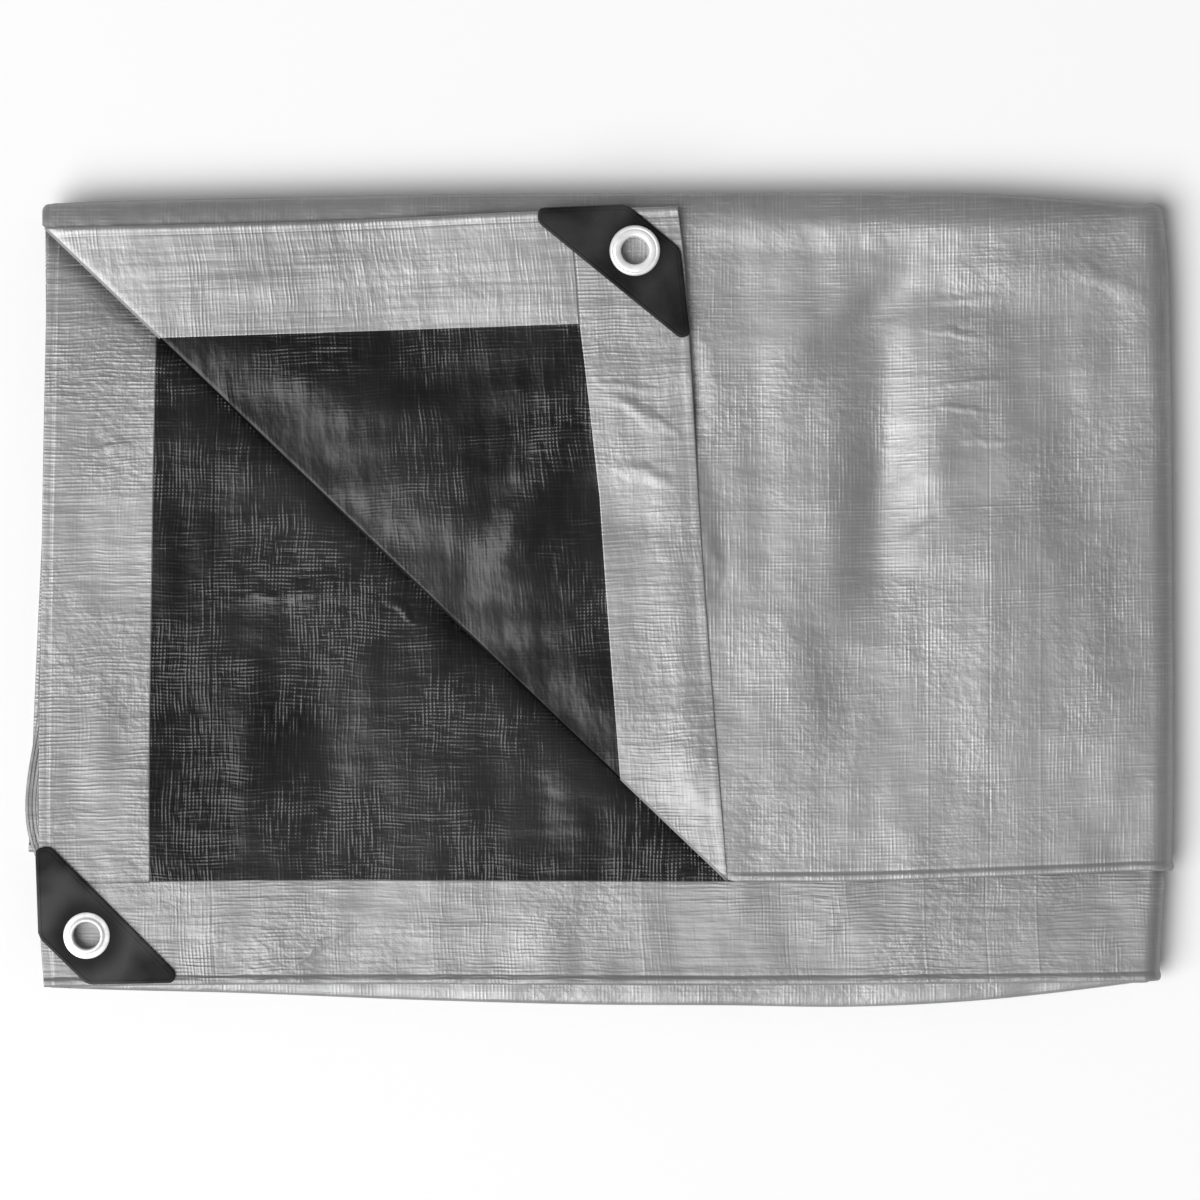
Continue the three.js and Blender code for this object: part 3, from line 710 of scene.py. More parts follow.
class Graph:
    """Short way to make shader nodes: inputs are given by name, as values or as other nodes' outputs."""

    def __init__(self, name):
        self.material = bpy.data.materials.new(name)
        self.material.use_nodes = True
        self.tree = self.material.node_tree
        self.shader = self.tree.nodes["Principled BSDF"]

    def put(self, node, name, value):
        socket = node.inputs[name]
        if isinstance(value, bpy.types.NodeSocket):
            self.tree.links.new(value, socket)
        else:
            socket.default_value = value

    def node(self, kind, out=0, settings=None, **inputs):
        node = self.tree.nodes.new("ShaderNode" + kind)
        for name, value in (settings or {}).items():
            setattr(node, name, value)
        for name, value in inputs.items():
            key = int(name[2:]) if name.startswith("in") and name[2:].isdigit() else name.replace("_", " ")
            self.put(node, key, value)
        return node.outputs[out]

    def set(self, **values):
        for name, value in values.items():
            self.put(self.shader, name.replace("_", " "), value)

    def math(self, operation, first, second=0.0, third=0.0):
        settings = {"operation": operation}
        return self.node("Math", settings=settings, in0=first, in1=second, in2=third)

    def plus(self, first, second):
        return self.math("ADD", first, second)

    def minus(self, first, second):
        return self.math("SUBTRACT", first, second)

    def times(self, first, second):
        return self.math("MULTIPLY", first, second)

    def times_plus(self, first, second, third):
        return self.math("MULTIPLY_ADD", first, second, third)

    def apart(self, first, second):
        """How far two values lie from each other."""
        return self.math("ABSOLUTE", self.minus(first, second))

    def mix(self, share, first, second):
        settings = {"data_type": "FLOAT"}
        return self.node("Mix", settings=settings, Factor=share, A=first, B=second)

    def grey(self, tone, blue=1.0):
        """A grey, with its blue a little stronger where blue is above 1."""
        return self.node("CombineColor", Red=tone, Green=tone, Blue=self.times(tone, blue))

    def vector(self, operation, *values):
        """Vector arithmetic; a length or a dot product comes out as one number."""
        out = 1 if operation in ("LENGTH", "DOT_PRODUCT") else 0
        inputs = {f"in{at}": value for at, value in enumerate(values)}
        return self.node("VectorMath", out=out, settings={"operation": operation}, **inputs)

    def place(self):
        """Place on the object, in metres."""
        return self.node("TexCoord", out=3)

    def ramp(self, value, low, high, to_low=0.0, to_high=1.0, soft=False):
        return self.node(
            "MapRange",
            settings={"interpolation_type": "SMOOTHSTEP" if soft else "LINEAR"},
            Value=value,
            From_Min=low,
            From_Max=high,
            To_Min=to_low,
            To_Max=to_high,
        )

    def noise(self, scale, detail, vector, out=0, **inputs):
        return self.node("TexNoise", out=out, Vector=vector, Scale=scale, Detail=detail, **inputs)

    def stretched(self, vector, across, along, detail=2.0, seed=0.0):
        """Noise with its own scale on each cloth direction, per metre."""
        shift = (seed, seed * 0.7, seed * 1.3)
        scaled = self.node("Mapping", Vector=vector, Scale=(across, along, 1.0), Location=shift)
        flat = {"noise_dimensions": "2D"}
        return self.node("TexNoise", settings=flat, Vector=scaled, Scale=1.0, Detail=detail)


# Tapes and threads per metre, and the film's metal share, gloss and bead line
WEAVE_PER_M = 617.0
THREAD_PER_M = 85.0
TAPE_STEP = 0.731
SILVER_METAL = 0.62
BLACK_GLOSS = 0.95
BEAD_LINE = 0.0045

# The cloth's three looks: the black inside, the same side on the turned corner, and the silver outside
# The silver film's tone differs by look, darkest on the inside's hems and lightest outside; it is one film,
# so the difference is painted shade.
CLOTH = {
    "inside": {
        "tone": 0.318,
        "edge_tint": 0.45,
        "stray": 0.004,
        "wrinkled": 1.0,
        "dimples": 1.2,
        "hem_lines": (0.28, 0.6),
        "end_rows": 0.55,
        "side_rows": 1.15,
        "side_columns": -0.6,
        "bead_all_round": True,
        "end_band": 0.0488,
        "side_band": {"axis": "X", "from": 0.10, "to": 0.24, "first": 0.0459, "last": 0.0505},
    },
    "turned": {
        "tone": 0.345,
        "edge_tint": 0.45,
        "stray": 0.004,
        "wrinkled": 1.0,
        "dimples": 0.8,
        "hem_lines": (0.16, 0.4),
        "end_rows": 0.25,
        "side_rows": 0.45,
        "side_columns": 0.4,
        "bead_all_round": False,
        "end_band": 0.0503,
        "side_band": {"axis": "Y", "from": 0.045, "to": 0.12, "first": 0.0435, "last": 0.0477},
    },
}
CLOTH["outside"] = {**CLOTH["inside"], "tone": 0.355, "edge_tint": 0.2, "stray": 0.0012, "wrinkled": 0.15}

# Creases left by earlier folds: along the section or along the row, in metres of cloth
CREASES = table(
    "axis at wide deep",
    ("row", 0.3895, 0.0009, 0.22),
    ("row", 0.4165, 0.0008, -0.25),
    ("row", 0.4390, 0.0009, 0.22),
    ("row", 0.2650, 0.0009, 0.18),
    ("row", 0.0760, 0.0009, -0.2),
    ("section", 0.2217, 0.0030, 0.35),
    ("section", 0.0420, 0.0010, -0.2),
    ("section", 0.1630, 0.0008, 0.18),
)

# Forms pressed into each visible panel's film: like the ridges above, with a rise of 1 for 0.24 mm
FIRST_FORMS = table(
    "x y wide long turn rise",
    (-150, 161, 190, 19, 0.6, 7.0),
    (-225, 158, 100, 20, 0.6, 4.0),
    (38, 89, 14, 34, 2, -8.0),
    (43, 22, 13, 46, 3, 8.0),
    (140, 170, 115, 22, 0, 6.0),
    (180, 60, 70, 170, 0, 6.0),
    (36, 0, 62, 180, 3, 7.5),
    (250, 147, 2.6, 18, 2, 3.0),
    (142, 36, 5, 14, -58, -2.2),
    (163, 132, 24, 3.5, 3, 1.4),
    (158, 117, 22, 3.0, -4, 1.2),
    (166, 96, 22, 3.2, 2, 1.3),
    (160, 84, 18, 3.0, -5, 1.2),
    (170, 70, 20, 3.0, 4, 1.0),
    (222, 140, 30, 6.0, -24, 1.6),
)
SECOND_FORMS = table(
    "x y wide long turn rise",
    (-150, -75, 32, 60, 2, 5.0),
    (12, -80, 44, 50, 4, 6.0),
    (-124, -153, 2.6, 28, -57, 1.6),
    (-213, -117, 7, 20, 45, 0.8),
    (-268, 0, 74, 300, 0, 8.0),
    (-252, 72, 62, 84, 0, 5.0),
    (-170, -120, 90, 62, 0, 3.0),
    (60, -116, 190, 54, 0, 4.5),
    (-130, 2, 40, 3.2, 1, 1.5),
    (-88, -4, 12, 3.2, -42, 1.5),
    (-214, 68, 14, 2.6, 16, 1.6),
    (-130, 4, 55, 9, 8, 2.4),
)
FLAP_FORMS = table(
    "x y wide long turn rise",
    (-120, 150, 170, 30, 1.5, 2.0),
    (62, 0, 52, 160, 4.5, 8.0),
    (52, -78, 32, 45, 46, 9.0),
    (74, -80, 46, 60, 0, 7.0),
    (19, 81, 24, 4.5, -30, 2.2),
    (12, 94, 20, 3.5, -10, 1.6),
    (21, 55, 20, 5.0, -16, 2.4),
    (-33, 42, 15, 60, -24, 4.0),
)


def crease_height(graph, weave):
    """The creases left by earlier folds."""
    section_place = graph.node("SeparateXYZ", Vector=weave)
    axes = {"section": section_place, "row": section_place.node.outputs[1]}
    total = 0.0
    for row in CREASES:
        away = graph.apart(axes[row["axis"]], row["at"])
        total = graph.plus(graph.ramp(away, 0.0, row["wide"], row["deep"], 0.0, soft=True), total)
    return total


def tape_edges(graph, across, along, strong, seed):
    """Ridges between neighbouring tapes, each with its own strength along its length."""
    place = graph.times(across, WEAVE_PER_M)
    profile = graph.math("ABSOLUTE", graph.times_plus(graph.math("FRACT", place), 2.0, -1.0))
    profile = graph.ramp(profile, 0.15, 1.0, soft=True)
    tape = graph.times(graph.math("FLOOR", graph.plus(place, 0.5)), TAPE_STEP)
    spot = graph.node("CombineXYZ", X=tape, Y=graph.times(along, THREAD_PER_M), Z=seed)
    amount = graph.ramp(graph.noise(1.0, 1.5, spot), 0.3, 0.72, -0.35, 1.25)
    return graph.times(graph.times(profile, amount), strong)


def weave_lines(graph, weave, on_end, on_side, look):
    """The fine, broken lines of the woven tapes under the film, with their own strengths on the hems."""
    wobble = graph.stretched(weave, 26.0, 26.0, seed=61.0)
    split = graph.node("SeparateXYZ", Vector=weave)
    section_place = graph.times_plus(wobble, look["stray"], split)
    row_place = graph.times_plus(wobble, -look["stray"], split.node.outputs[1])
    more_rows = graph.ramp(graph.stretched(weave, 30.0, 14.0, seed=9.0), 0.35, 0.65, 0.3, 1.2)
    more_columns = graph.ramp(graph.stretched(weave, 14.0, 30.0, seed=15.0), 0.35, 0.65, 0.3, 1.2)
    more_rows = graph.times_plus(on_end, look["end_rows"], more_rows)
    more_rows = graph.times(more_rows, graph.ramp(on_side, 0.0, 1.0, 1.0, look["side_rows"]))
    more_columns = graph.times_plus(on_side, look["side_columns"], more_columns)
    more_columns = graph.times(more_columns, graph.ramp(on_end, 0.0, 1.0, 1.0, 0.3))
    rows = tape_edges(graph, section_place, row_place, more_rows, 1.7)
    columns = tape_edges(graph, row_place, section_place, more_columns, 8.3)
    return graph.plus(rows, columns)


def puckers(graph, weave):
    """Longer soft creases of the stiff film: along the section, along the row, and small ones anywhere."""
    upright = graph.stretched(weave, 13.0, 34.0, detail=1.0, seed=71.0)
    level = graph.stretched(weave, 70.0, 22.0, detail=1.5, seed=83.0)
    small = graph.stretched(weave, 150.0, 90.0, seed=52.0)
    height = graph.times_plus(level, 2.2, graph.times(upright, 7.0))
    return graph.times_plus(small, 0.7, height)


def dimples(graph, weave):
    """The finely crumpled film, deeper in some places than in others."""
    amount = graph.ramp(graph.stretched(weave, 17.0, 17.0, seed=44.0), 0.42, 0.62, 0.1, 1.0)
    return graph.times(graph.stretched(weave, 330.0, 260.0, detail=2.5, seed=95.0), amount)


def wrinkles(graph, weave, cloud, turned):
    """Fine wrinkles of the hems, square to the edge that they lie along."""
    across, along = (18.0, 300.0) if turned else (300.0, 18.0)
    fine = graph.stretched(weave, across, along, detail=2.5, seed=41.0)
    fine = graph.times(graph.times_plus(fine, 2.0, -1.0), graph.ramp(cloud, 0.35, 0.62, 0.25, 1.0))
    return graph.times(fine, 0.8)


def placed_forms(graph, forms):
    """Soft forms pressed into one panel, at places seen from above."""
    place = graph.place()
    stray = graph.vector("SUBTRACT", graph.noise(90.0, 1.0, place, out=1), (0.5, 0.5, 0.5))
    place = graph.vector("MULTIPLY_ADD", stray, (0.006, 0.006, 0.0), place)
    total = 0.0
    for row in forms:
        seat = graph.node(
            "Mapping",
            settings={"vector_type": "TEXTURE"},
            Vector=place,
            Location=(row["x"] * MM, row["y"] * MM, 0.0),
            Rotation=(0.0, 0.0, math.radians(row["turn"])),
            Scale=(row["wide"] * MM, row["long"] * MM, 1.0),
        )
        away = graph.vector("LENGTH", seat)
        total = graph.plus(graph.ramp(away, 0.0, 1.0, row["rise"], 0.0, soft=True), total)
    return total


def from_fold(graph):
    """Distance from the slanting fold, in metres, towards the turned corner's tip."""
    away = graph.vector("DOT_PRODUCT", graph.place(), (float(ACROSS[0]), float(ACROSS[1]), 0.0))
    return graph.minus(away, float(SLANT_START @ ACROSS) * MM)


def hem_maps(graph, look, place):
    """Distances from the sheet's edges in metres, and masks of its hems, of their lap line with its painted
    shadow and of their bead line with its painted shade.
    """
    end = graph.node("SeparateXYZ", Vector=graph.node("UVMap", settings={"uv_map": "edges"}))
    far = end.node.outputs[1]
    band, end_band = look["side_band"], look["end_band"]
    side_band = graph.ramp(place[band["axis"]], band["from"], band["to"], band["first"], band["last"])
    on_side = graph.math("LESS_THAN", far, side_band)
    near_end = graph.math("LESS_THAN", end, end_band)
    end_share, side_share = graph.math("DIVIDE", end, end_band), graph.math("DIVIDE", far, side_band)
    nearest = graph.math("MINIMUM", end_share, side_share)
    closest = graph.math("MINIMUM", end, far) if look["bead_all_round"] else end
    return {
        "end": end,
        "on_side": on_side,
        "on_end": graph.times(near_end, graph.minus(1.0, on_side)),
        "lap_step_and_shadow": graph.times(graph.ramp(graph.apart(far, side_band), 0.0002, 0.0008, 1.0, 0.0), near_end),
        "nearest": nearest,
        "hem": graph.math("LESS_THAN", nearest, 1.0),
        "bead": graph.ramp(graph.apart(closest, BEAD_LINE), 0.0, 0.0007, 1.0, 0.0),
    }


def cloth_maps(graph, kind):
    """The distances, masks and noises that a cloth material is made from, by name."""
    look = CLOTH[kind]
    weave = graph.node("UVMap", settings={"uv_map": "weave"})
    place = graph.node("SeparateXYZ", Vector=graph.place()).node.outputs
    maps = hem_maps(graph, look, place)
    maps["weave"], maps["place"] = weave, place
    maps["cloud"] = graph.stretched(weave, 28.0, 28.0, detail=3.0, seed=21.0)
    maps["wide_cloud"] = graph.stretched(weave, 9.0, 9.0, seed=33.0)
    if kind == "outside":
        lines = weave_lines(graph, weave, 0.0, 0.0, look)
        maps["lines"] = graph.times(lines, graph.ramp(place["Z"], 0.012, 0.02, 0.45, 1.0))
        maps["line_height"] = 0.28
        return maps
    maps["lines"] = weave_lines(graph, weave, maps["on_end"], maps["on_side"], look)
    maps["fold_side"] = from_fold(graph)
    clustered = graph.ramp(graph.stretched(weave, 20.0, 20.0, seed=27.0), 0.40, 0.66, 0.18, 0.85)
    if kind == "turned":
        clustered = graph.times(clustered, graph.ramp(maps["fold_side"], 0.02, 0.06, 0.15, 1.0))
    hem_lines = graph.ramp(graph.stretched(weave, 12.0, 12.0, seed=29.0), 0.38, 0.62, *look["hem_lines"])
    maps["clustered"] = clustered
    maps["line_height"] = graph.mix(maps["hem"], clustered, hem_lines)
    return maps


def film_height(graph, kind, maps):
    """What stands up all over the film; a height of 1 is 0.24 mm."""
    look, hem = CLOTH[kind], maps["hem"]
    fine = wrinkles(graph, maps["weave"], maps["cloud"], kind == "turned")
    height = graph.times(maps["lines"], maps["line_height"])
    height = graph.times_plus(fine, graph.times(hem, look["wrinkled"]), height)
    height = graph.minus(height, graph.times(maps["bead"], 0.3))
    height = graph.plus(height, puckers(graph, maps["weave"]))
    if kind != "turned":
        height = graph.plus(height, crease_height(graph, maps["weave"]))
        height = graph.plus(height, graph.ramp(maps["end"], 0.0034, 0.0050, -0.9, 0.0, soft=True))
    crumpled = dimples(graph, maps["weave"])
    if kind == "outside":
        return graph.plus(height, crumpled)
    height = graph.plus(height, graph.times(crumpled, graph.times(hem, look["dimples"])))
    border = graph.ramp(maps["nearest"], 0.99, 1.0, 1.0, 0.0)
    height = graph.plus(height, graph.times(border, 0.9))
    return graph.minus(height, graph.times(maps["lap_step_and_shadow"], 0.7))


def silver_outside(graph, maps, silver, rough):
    """The silver face, with painted shade in fine stripes on the ends of the loose layers low in the stack.
    """
    # Painted shade: stripes on the loose ends, only low in the stack.
    shade_stripes = graph.ramp(graph.math("FRACT", graph.times(maps["end"], 620.0)), 0.62, 0.8, 0.3, 0.75)
    low = graph.ramp(maps["place"]["Z"], 0.014, 0.017, 1.0, 0.0)
    shaded_low_ends = graph.times(graph.math("LESS_THAN", maps["end"], 0.009), low)
    graph.set(Metallic=SILVER_METAL)
    return graph.times(silver, graph.minus(1.0, graph.times(shade_stripes, shaded_low_ends))), rough


def black_inside(graph, kind, maps, silver, rough):
    """The black face between its silver hems; along the slanting fold, painted shade on the second layer, and
    on the turned corner a pressed fold line, rougher and less glossy, darkened by painted shade.
    """
    hem = maps["hem"]
    # Painted shadow: the silver hem is made darker along the line where one hem laps over the other.
    silver = graph.times_plus(maps["lap_step_and_shadow"], -0.12, silver)
    # Painted reflections: the black is made lighter along the weave's lines, in patches, on top of its
    # near-black tone with random clouds.
    black_and_glints = graph.times(graph.math("MAXIMUM", maps["lines"], 0.0), maps["clustered"])
    black_and_glints = graph.times_plus(black_and_glints, 0.035, graph.ramp(maps["wide_cloud"], 0.42, 0.66, 0.001, 0.016))
    tone = graph.mix(hem, black_and_glints, silver)
    rough = graph.mix(hem, 0.26, rough)
    metal = graph.times(hem, SILVER_METAL)
    if kind == "turned":
        pressed_and_shaded = graph.ramp(maps["fold_side"], 0.0006, 0.0014, 1.0, 0.0)
        rough = graph.mix(pressed_and_shaded, rough, 0.85)
        metal = graph.times(metal, graph.minus(1.0, pressed_and_shaded))
        # Painted shade: the turned corner's fold line is made darker.
        tone = graph.times(tone, graph.ramp(pressed_and_shaded, 0.0, 1.0, 1.0, 0.75))
        gloss = graph.ramp(pressed_and_shaded, 0.0, 1.0, BLACK_GLOSS, 0.15)
    else:
        shade = graph.ramp(maps["fold_side"], -0.009, -0.0005, 0.0, 0.5, soft=True)
        shade = graph.times(graph.ramp(maps["place"]["Y"], -0.124, -0.112), shade)
        tone = graph.times(tone, graph.minus(1.0, shade))
        gloss = BLACK_GLOSS
    graph.set(Metallic=metal, Specular_IOR_Level=gloss)
    return tone, rough


def cloth_material(name, kind, forms):
    """The laminated weave: silver, or black with silver hems."""
    graph = Graph(name)
    maps = cloth_maps(graph, kind)
    height = graph.plus(film_height(graph, kind, maps), placed_forms(graph, forms))
    # The weave's lines lighten the tone: partly the tapes' own tone, partly a painted highlight along their
    # edges.
    tone = graph.times_plus(maps["lines"], 0.05, CLOTH[kind]["tone"])
    tone = graph.plus(tone, graph.ramp(maps["wide_cloud"], 0.3, 0.7, -0.035, 0.035))
    # Painted shade: a faint dark line along the groove beside the rope bead.
    tone = graph.times_plus(maps["bead"], -0.015, tone)
    rough = graph.ramp(maps["cloud"], 0.3, 0.7, 0.43, 0.51)
    if kind == "outside":
        tone, rough = silver_outside(graph, maps, tone, rough)
    else:
        tone, rough = black_inside(graph, kind, maps, tone, rough)
    tint = CLOTH[kind]["edge_tint"]
    graph.set(
        Base_Color=graph.grey(tone, 1.012),
        Roughness=rough,
        Normal=graph.node("Bump", Height=height, Distance=0.0003, Strength=0.8),
        Specular_Tint=(tint, tint, tint, 1.0),
    )
    return graph.material


def plastic_material():
    """Matte black plastic with a fine grain, faint scuffs and, round each eyelet, a dark ring of painted
    shade that is a little glossier.
    """
    graph = Graph("patch_plastic")
    place = graph.place()
    grain = graph.noise(1800.0, 3.0, place)
    scuffs = graph.noise(60.0, 5.0, place, Roughness=0.7)
    clouds = graph.noise(40.0, 1.5, place)
    level = graph.node("SeparateXYZ", Vector=place, out=1)
    # Lighter clouds, full on the lower patch and half as strong on the turned corner's patch, which is
    # darker.
    pale_clouds = graph.times(graph.ramp(clouds, 0.40, 0.60, 0.004, 0.046), graph.ramp(level, 0.0, 0.1, 1.0, 0.5))
    tone = graph.plus(graph.ramp(scuffs, 0.35, 0.75, 0.0, 0.012), pale_clouds)
    pressed_and_shaded = 0.0
    for centre in (LOWER_EYELET, FLAP_EYELET):
        seat = (*(centre * MM), EYELET_HEIGHT * MM)
        away = graph.vector("LENGTH", graph.vector("SUBTRACT", place, seat))
        pressed_and_shaded = graph.math("MAXIMUM", graph.ramp(away, 0.012, 0.021, 1.0, 0.0, soft=True), pressed_and_shaded)
    # Painted shade: a dark ring round each eyelet.
    tone = graph.times(tone, graph.ramp(pressed_and_shaded, 0.0, 1.0, 1.0, 0.12))
    rough = graph.plus(graph.ramp(scuffs, 0.3, 0.7, 0.42, 0.58), graph.times(pressed_and_shaded, -0.1))
    height = graph.times_plus(clouds, 40.0, grain)
    graph.set(
        Base_Color=graph.grey(tone, 1.04),
        Roughness=rough,
        Normal=graph.node("Bump", Height=height, Distance=0.00005, Strength=0.4),
        Specular_IOR_Level=0.16,
    )
    return graph.material


def alloy_material():
    """Bright pressed aluminium with faint turning marks."""
    graph = Graph("eyelet_alloy")
    haze = graph.noise(240.0, 4.0, graph.place())
    graph.set(
        Base_Color=graph.grey(graph.ramp(haze, 0.3, 0.7, 0.82, 0.93)),
        Metallic=0.3,
        Roughness=graph.ramp(haze, 0.3, 0.7, 0.24, 0.36),
        Normal=graph.node("Bump", Height=haze, Distance=0.00004, Strength=0.3),
    )
    return graph.material


# Patches: plates, the strip round the cloth's edge, and the directions of each corner's two edges
PLATE = 0.8
POCKET = 1.3
PATCH = {"corner_gap": 20.0, "reach_edge": 61.0, "reach_hem": 57.0}
PLATE_HOLE = 7.2
HOLE_STEPS = 48
WRAP = -1.5
STRIP_STEPS = 12
STRIP = table(
    "depth rise",
    (WRAP + 0.75, POCKET),
    (WRAP + 0.02, POCKET - 0.2),
    (WRAP - 0.35, 0.0),
    (WRAP + 0.02, 0.2 - POCKET),
    (WRAP + 0.75, -POCKET),
    (WRAP + 0.75, 0.0),
)
PATCH_DIRECTIONS = np.array([[-0.035, 1.0], [1.0, 0.02], [-1.0, -0.04], [0.11, -1.0]])


def patch_outline(corner, edge, hem):
    """A patch's outline from its cloth corner, with rounded ends."""
    gap, edge_reach, hem_reach = PATCH["corner_gap"], PATCH["reach_edge"], PATCH["reach_hem"]
    corners = table(
        "edge hem round",
        (gap + 2.0, WRAP, 3.0),
        (edge_reach, WRAP, 2.2),
        (edge_reach + 1.2, 4.6, 4.5),
        (5.2, hem_reach + 1.4, 4.5),
        (0.8, hem_reach, 2.2),
        (0.8, gap - 1.0, 3.0),
    )
    points = [corner + edge * row["edge"] + hem * row["hem"] for row in corners]
    rounded = []
    for at, row in enumerate(corners):
        here, before, after = points[at], points[at - 1], points[(at + 1) % len(points)]
        back, ahead = before - here, after - here
        reach = min(row["round"], 0.45 * np.linalg.norm(back), 0.45 * np.linalg.norm(ahead))
        start = here + back / np.linalg.norm(back) * reach
        end = here + ahead / np.linalg.norm(ahead) * reach
        for step in range(9):
            t = step / 8
            rounded.append((1 - t) ** 2 * start + 2 * t * (1 - t) * here + t**2 * end)
    return np.array(rounded)


def inset_outline(outline, distance):
    """The outline drawn in by a distance."""
    ahead = np.roll(outline, -1, axis=0) - np.roll(outline, 1, axis=0)
    ahead /= np.linalg.norm(ahead, axis=1)[:, None]
    inward = np.stack([-ahead[:, 1], ahead[:, 0]], axis=1)
    area = np.sum(outline[:, 0] * np.roll(outline[:, 1], -1) - outline[:, 1] * np.roll(outline[:, 0], -1))
    return outline + inward * distance * np.sign(area)


def vertex(bm, x, y, z):
    return bm.verts.new((x * MM, y * MM, z * MM))


def bridge(bm, low, high):
    """Quads between two closed rings of vertices."""
    for at in range(len(low)):
        after = (at + 1) % len(low)
        bm.faces.new((low[at], low[after], high[after], high[at]))


def add_plate(bm, outline, centre, level, up):
    """One plate: a rounded outer edge, a fine groove inside it, and the eyelet's hole."""
    face = level + up * (POCKET + PLATE)
    back = level + up * POCKET
    rows = table(
        "inset z",
        (0.2, back),
        (0.0, back + up * 0.15),
        (0.0, face - up * 0.3),
        (0.12, face - up * 0.1),
        (0.4, face),
        (1.35, face),
        (1.55, face - up * 0.16),
        (1.95, face - up * 0.16),
        (2.15, face - up * 0.03),
    )
    rings = []
    for row in rows:
        rings.append([vertex(bm, x, y, row["z"]) for x, y in inset_outline(outline, row["inset"])])
    angles = [2 * math.pi * step / HOLE_STEPS for step in range(HOLE_STEPS)]
    circle = [(centre[0] + PLATE_HOLE * math.cos(a), centre[1] + PLATE_HOLE * math.sin(a)) for a in angles]
    holes = [[vertex(bm, x, y, z) for x, y in circle] for z in (rows[-1]["z"], back)]
    for low, high in [*zip(rings, rings[1:]), holes]:
        bridge(bm, low, high)
    for outer, inner in ((rings[-1], holes[0]), (rings[0], holes[1])):
        loops = []
        for loop in (outer, inner):
            loops += [bm.edges.get((loop[at], loop[(at + 1) % len(loop)])) for at in range(len(loop))]
        bmesh.ops.triangle_fill(bm, use_beauty=True, use_dissolve=False, edges=loops)


def build_patch(name, corner, edge, hem, level, centre, material):
    """Two plates and the strip that joins them round the cloth's end edge."""
    outline = patch_outline(corner, edge, hem)
    bm = bmesh.new()
    for up in (1, -1):
        add_plate(bm, outline, centre, level, up)
    first, last = PATCH["corner_gap"] + 3.5, PATCH["reach_edge"] - 2.5
    strip = []
    for step in range(STRIP_STEPS + 1):
        spine = corner + edge * (first + step / STRIP_STEPS * (last - first))
        spots = [(*(spine + hem * row["depth"]), level + row["rise"]) for row in STRIP]
        strip.append([vertex(bm, x, y, z) for x, y, z in spots])
    for low, high in zip(strip, strip[1:]):
        bridge(bm, low, high)
    bm.faces.new(strip[0])
    bm.faces.new(strip[-1][::-1])
    bmesh.ops.recalc_face_normals(bm, faces=bm.faces)
    return finished(bm, name, material)


def finished(bm, name, material, sharp=32):
    """The mesh as an object, smooth up to an angle in degrees."""
    mesh = bpy.data.meshes.new(name)
    bm.to_mesh(mesh)
    bm.free()
    mesh.materials.append(material)
    mesh.polygons.foreach_set("use_smooth", [True] * len(mesh.polygons))
    mesh.set_sharp_from_angle(angle=math.radians(sharp))
    return add_object(name, mesh)


# Eyelets: profiles by radius and height above the seat, from the barrel's inside outwards
BARREL = 6.9
EYELET_GAP = 0.3
EYELET_STEPS = 96
DOMED = table(
    "r z",
    (6.0, -0.6),
    (6.05, 0.2),
    (6.25, 0.8),
    (6.55, 1.1),
    (7.1, 1.24),
    (8.6, 1.26),
    (9.0, 1.2),
    (9.3, 0.96),
    (9.6, 0.98),
    (9.85, 1.06),
    (10.45, 0.96),
    (10.9, 0.6),
    (11.1, 0.15),
    (11.0, 0.0),
)
ROLLED = table(
    "r z",
    (6.0, -0.6),
    (6.0, 0.3),
    (6.15, 0.8),
    (6.6, 1.0),
    (7.3, 0.92),
    (7.75, 0.6),
    (7.9, 0.42),
    (8.3, 0.4),
    (9.5, 0.42),
    (10.0, 0.36),
    (10.2, 0.2),
    (10.15, 0.0),
)


def build_eyelet(name, centre, level, above, below, material):
    """A turned barrel with one flange above the patch and one below."""
    seat = POCKET + PLATE + EYELET_GAP
    outline = [(row["r"], seat + row["z"]) for row in reversed(above)]
    outline += [(row["r"], -seat - row["z"]) for row in below]
    outline += [(BARREL, -seat), (BARREL, seat)]
    bm = bmesh.new()
    rings = []
    for step in range(EYELET_STEPS):
        angle = 2 * math.pi * step / EYELET_STEPS
        out = np.array([math.cos(angle), math.sin(angle)])
        rings.append([vertex(bm, *(centre + radius * out), level + z) for radius, z in outline])
    for at, ring in enumerate(rings):
        bridge(bm, ring, rings[(at + 1) % EYELET_STEPS])
    bmesh.ops.recalc_face_normals(bm, faces=bm.faces)
    return finished(bm, name, material, sharp=50)


def add_light(name, place, size, power):
    """A soft panel that faces the object."""
    data = bpy.data.lights.new(name, "AREA")
    data.shape = "RECTANGLE"
    data.size, data.size_y = size
    data.energy = power
    light = add_object(name, data)
    light.location = place
    light.rotation_euler = Vector(place).to_track_quat("Z", "Y").to_euler()


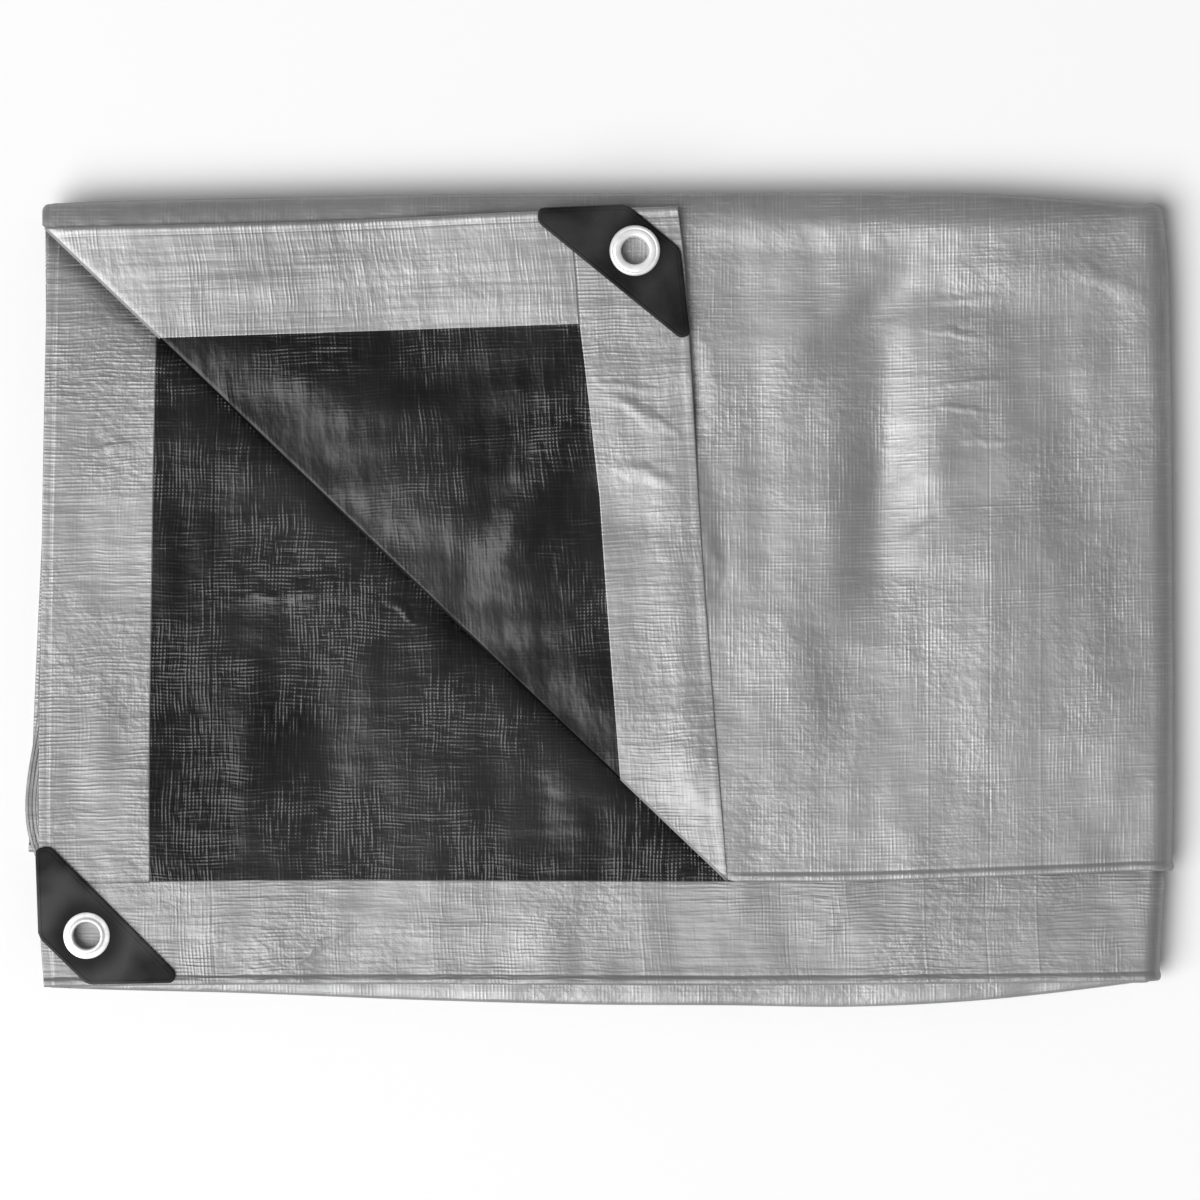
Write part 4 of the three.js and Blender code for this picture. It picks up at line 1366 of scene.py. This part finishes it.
def build_studio():
    """Plain pale floor, one soft panel overhead and the camera straight above."""
    world = bpy.context.scene.world or bpy.data.worlds.new("World")
    bpy.context.scene.world = world
    world.use_nodes = True
    background = world.node_tree.nodes["Background"]
    background.inputs["Color"].default_value = (1.0, 1.0, 1.0, 1.0)
    background.inputs["Strength"].default_value = SKY_STRENGTH
    add_light("key_panel", KEY_PANEL["place"], KEY_PANEL["size"], KEY_PANEL["power"])
    bm = bmesh.new()
    bmesh.ops.create_grid(bm, x_segments=1, y_segments=1, size=FLOOR_SIZE)
    graph = Graph("pale_floor")
    graph.set(Base_Color=(0.92, 0.92, 0.92, 1.0), Roughness=0.9)
    floor = finished(bm, "floor", graph.material)
    data = bpy.data.cameras.new("camera")
    data.sensor_width = SENSOR
    data.lens = SENSOR * (CAMERA_HEIGHT - TOP_HEIGHT) / VIEW_WIDTH
    data.clip_end = CLIP_END
    camera = add_object("camera", data)
    camera.location = (0.0, 0.0, CAMERA_HEIGHT * MM)
    bpy.context.scene.camera = camera
    bpy.context.scene.view_settings.view_transform = "Standard"


def main():
    silver = cloth_material("cloth_silver", "outside", FIRST_FORMS)
    inside = cloth_material("cloth_inside", "inside", SECOND_FORMS)
    turned = cloth_material("cloth_turned_corner", "turned", FLAP_FORMS)
    plastic, alloy = plastic_material(), alloy_material()
    tarp = build_tarp([silver, inside, turned])
    up, right, back, down = (direction / np.linalg.norm(direction) for direction in PATCH_DIRECTIONS)
    lower_patch = build_patch("lower_patch", SECOND_CORNER, up, right, LOWER_LEVEL, LOWER_EYELET, plastic)
    flap_patch = build_patch("turned_patch", FLAP_CORNER, back, down, FLAP_LEVEL, FLAP_EYELET, plastic)
    lower_eyelet = build_eyelet("lower_ring", LOWER_EYELET, LOWER_LEVEL, ROLLED, DOMED, alloy)
    flap_eyelet = build_eyelet("turned_ring", FLAP_EYELET, FLAP_LEVEL, DOMED, ROLLED, alloy)
    pairs = [
        (tarp, "tarp_cloth", "cloth"),
        (lower_patch, "corner_patch_lower", "patch"),
        (flap_patch, "corner_patch_flap", "patch"),
        (lower_eyelet, "eyelet_lower", "eyelet"),
        (flap_eyelet, "eyelet_flap", "eyelet"),
    ]
    for piece, node, slot in pairs:
        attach(piece, "root")
        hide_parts(node)
    build_studio()


main()
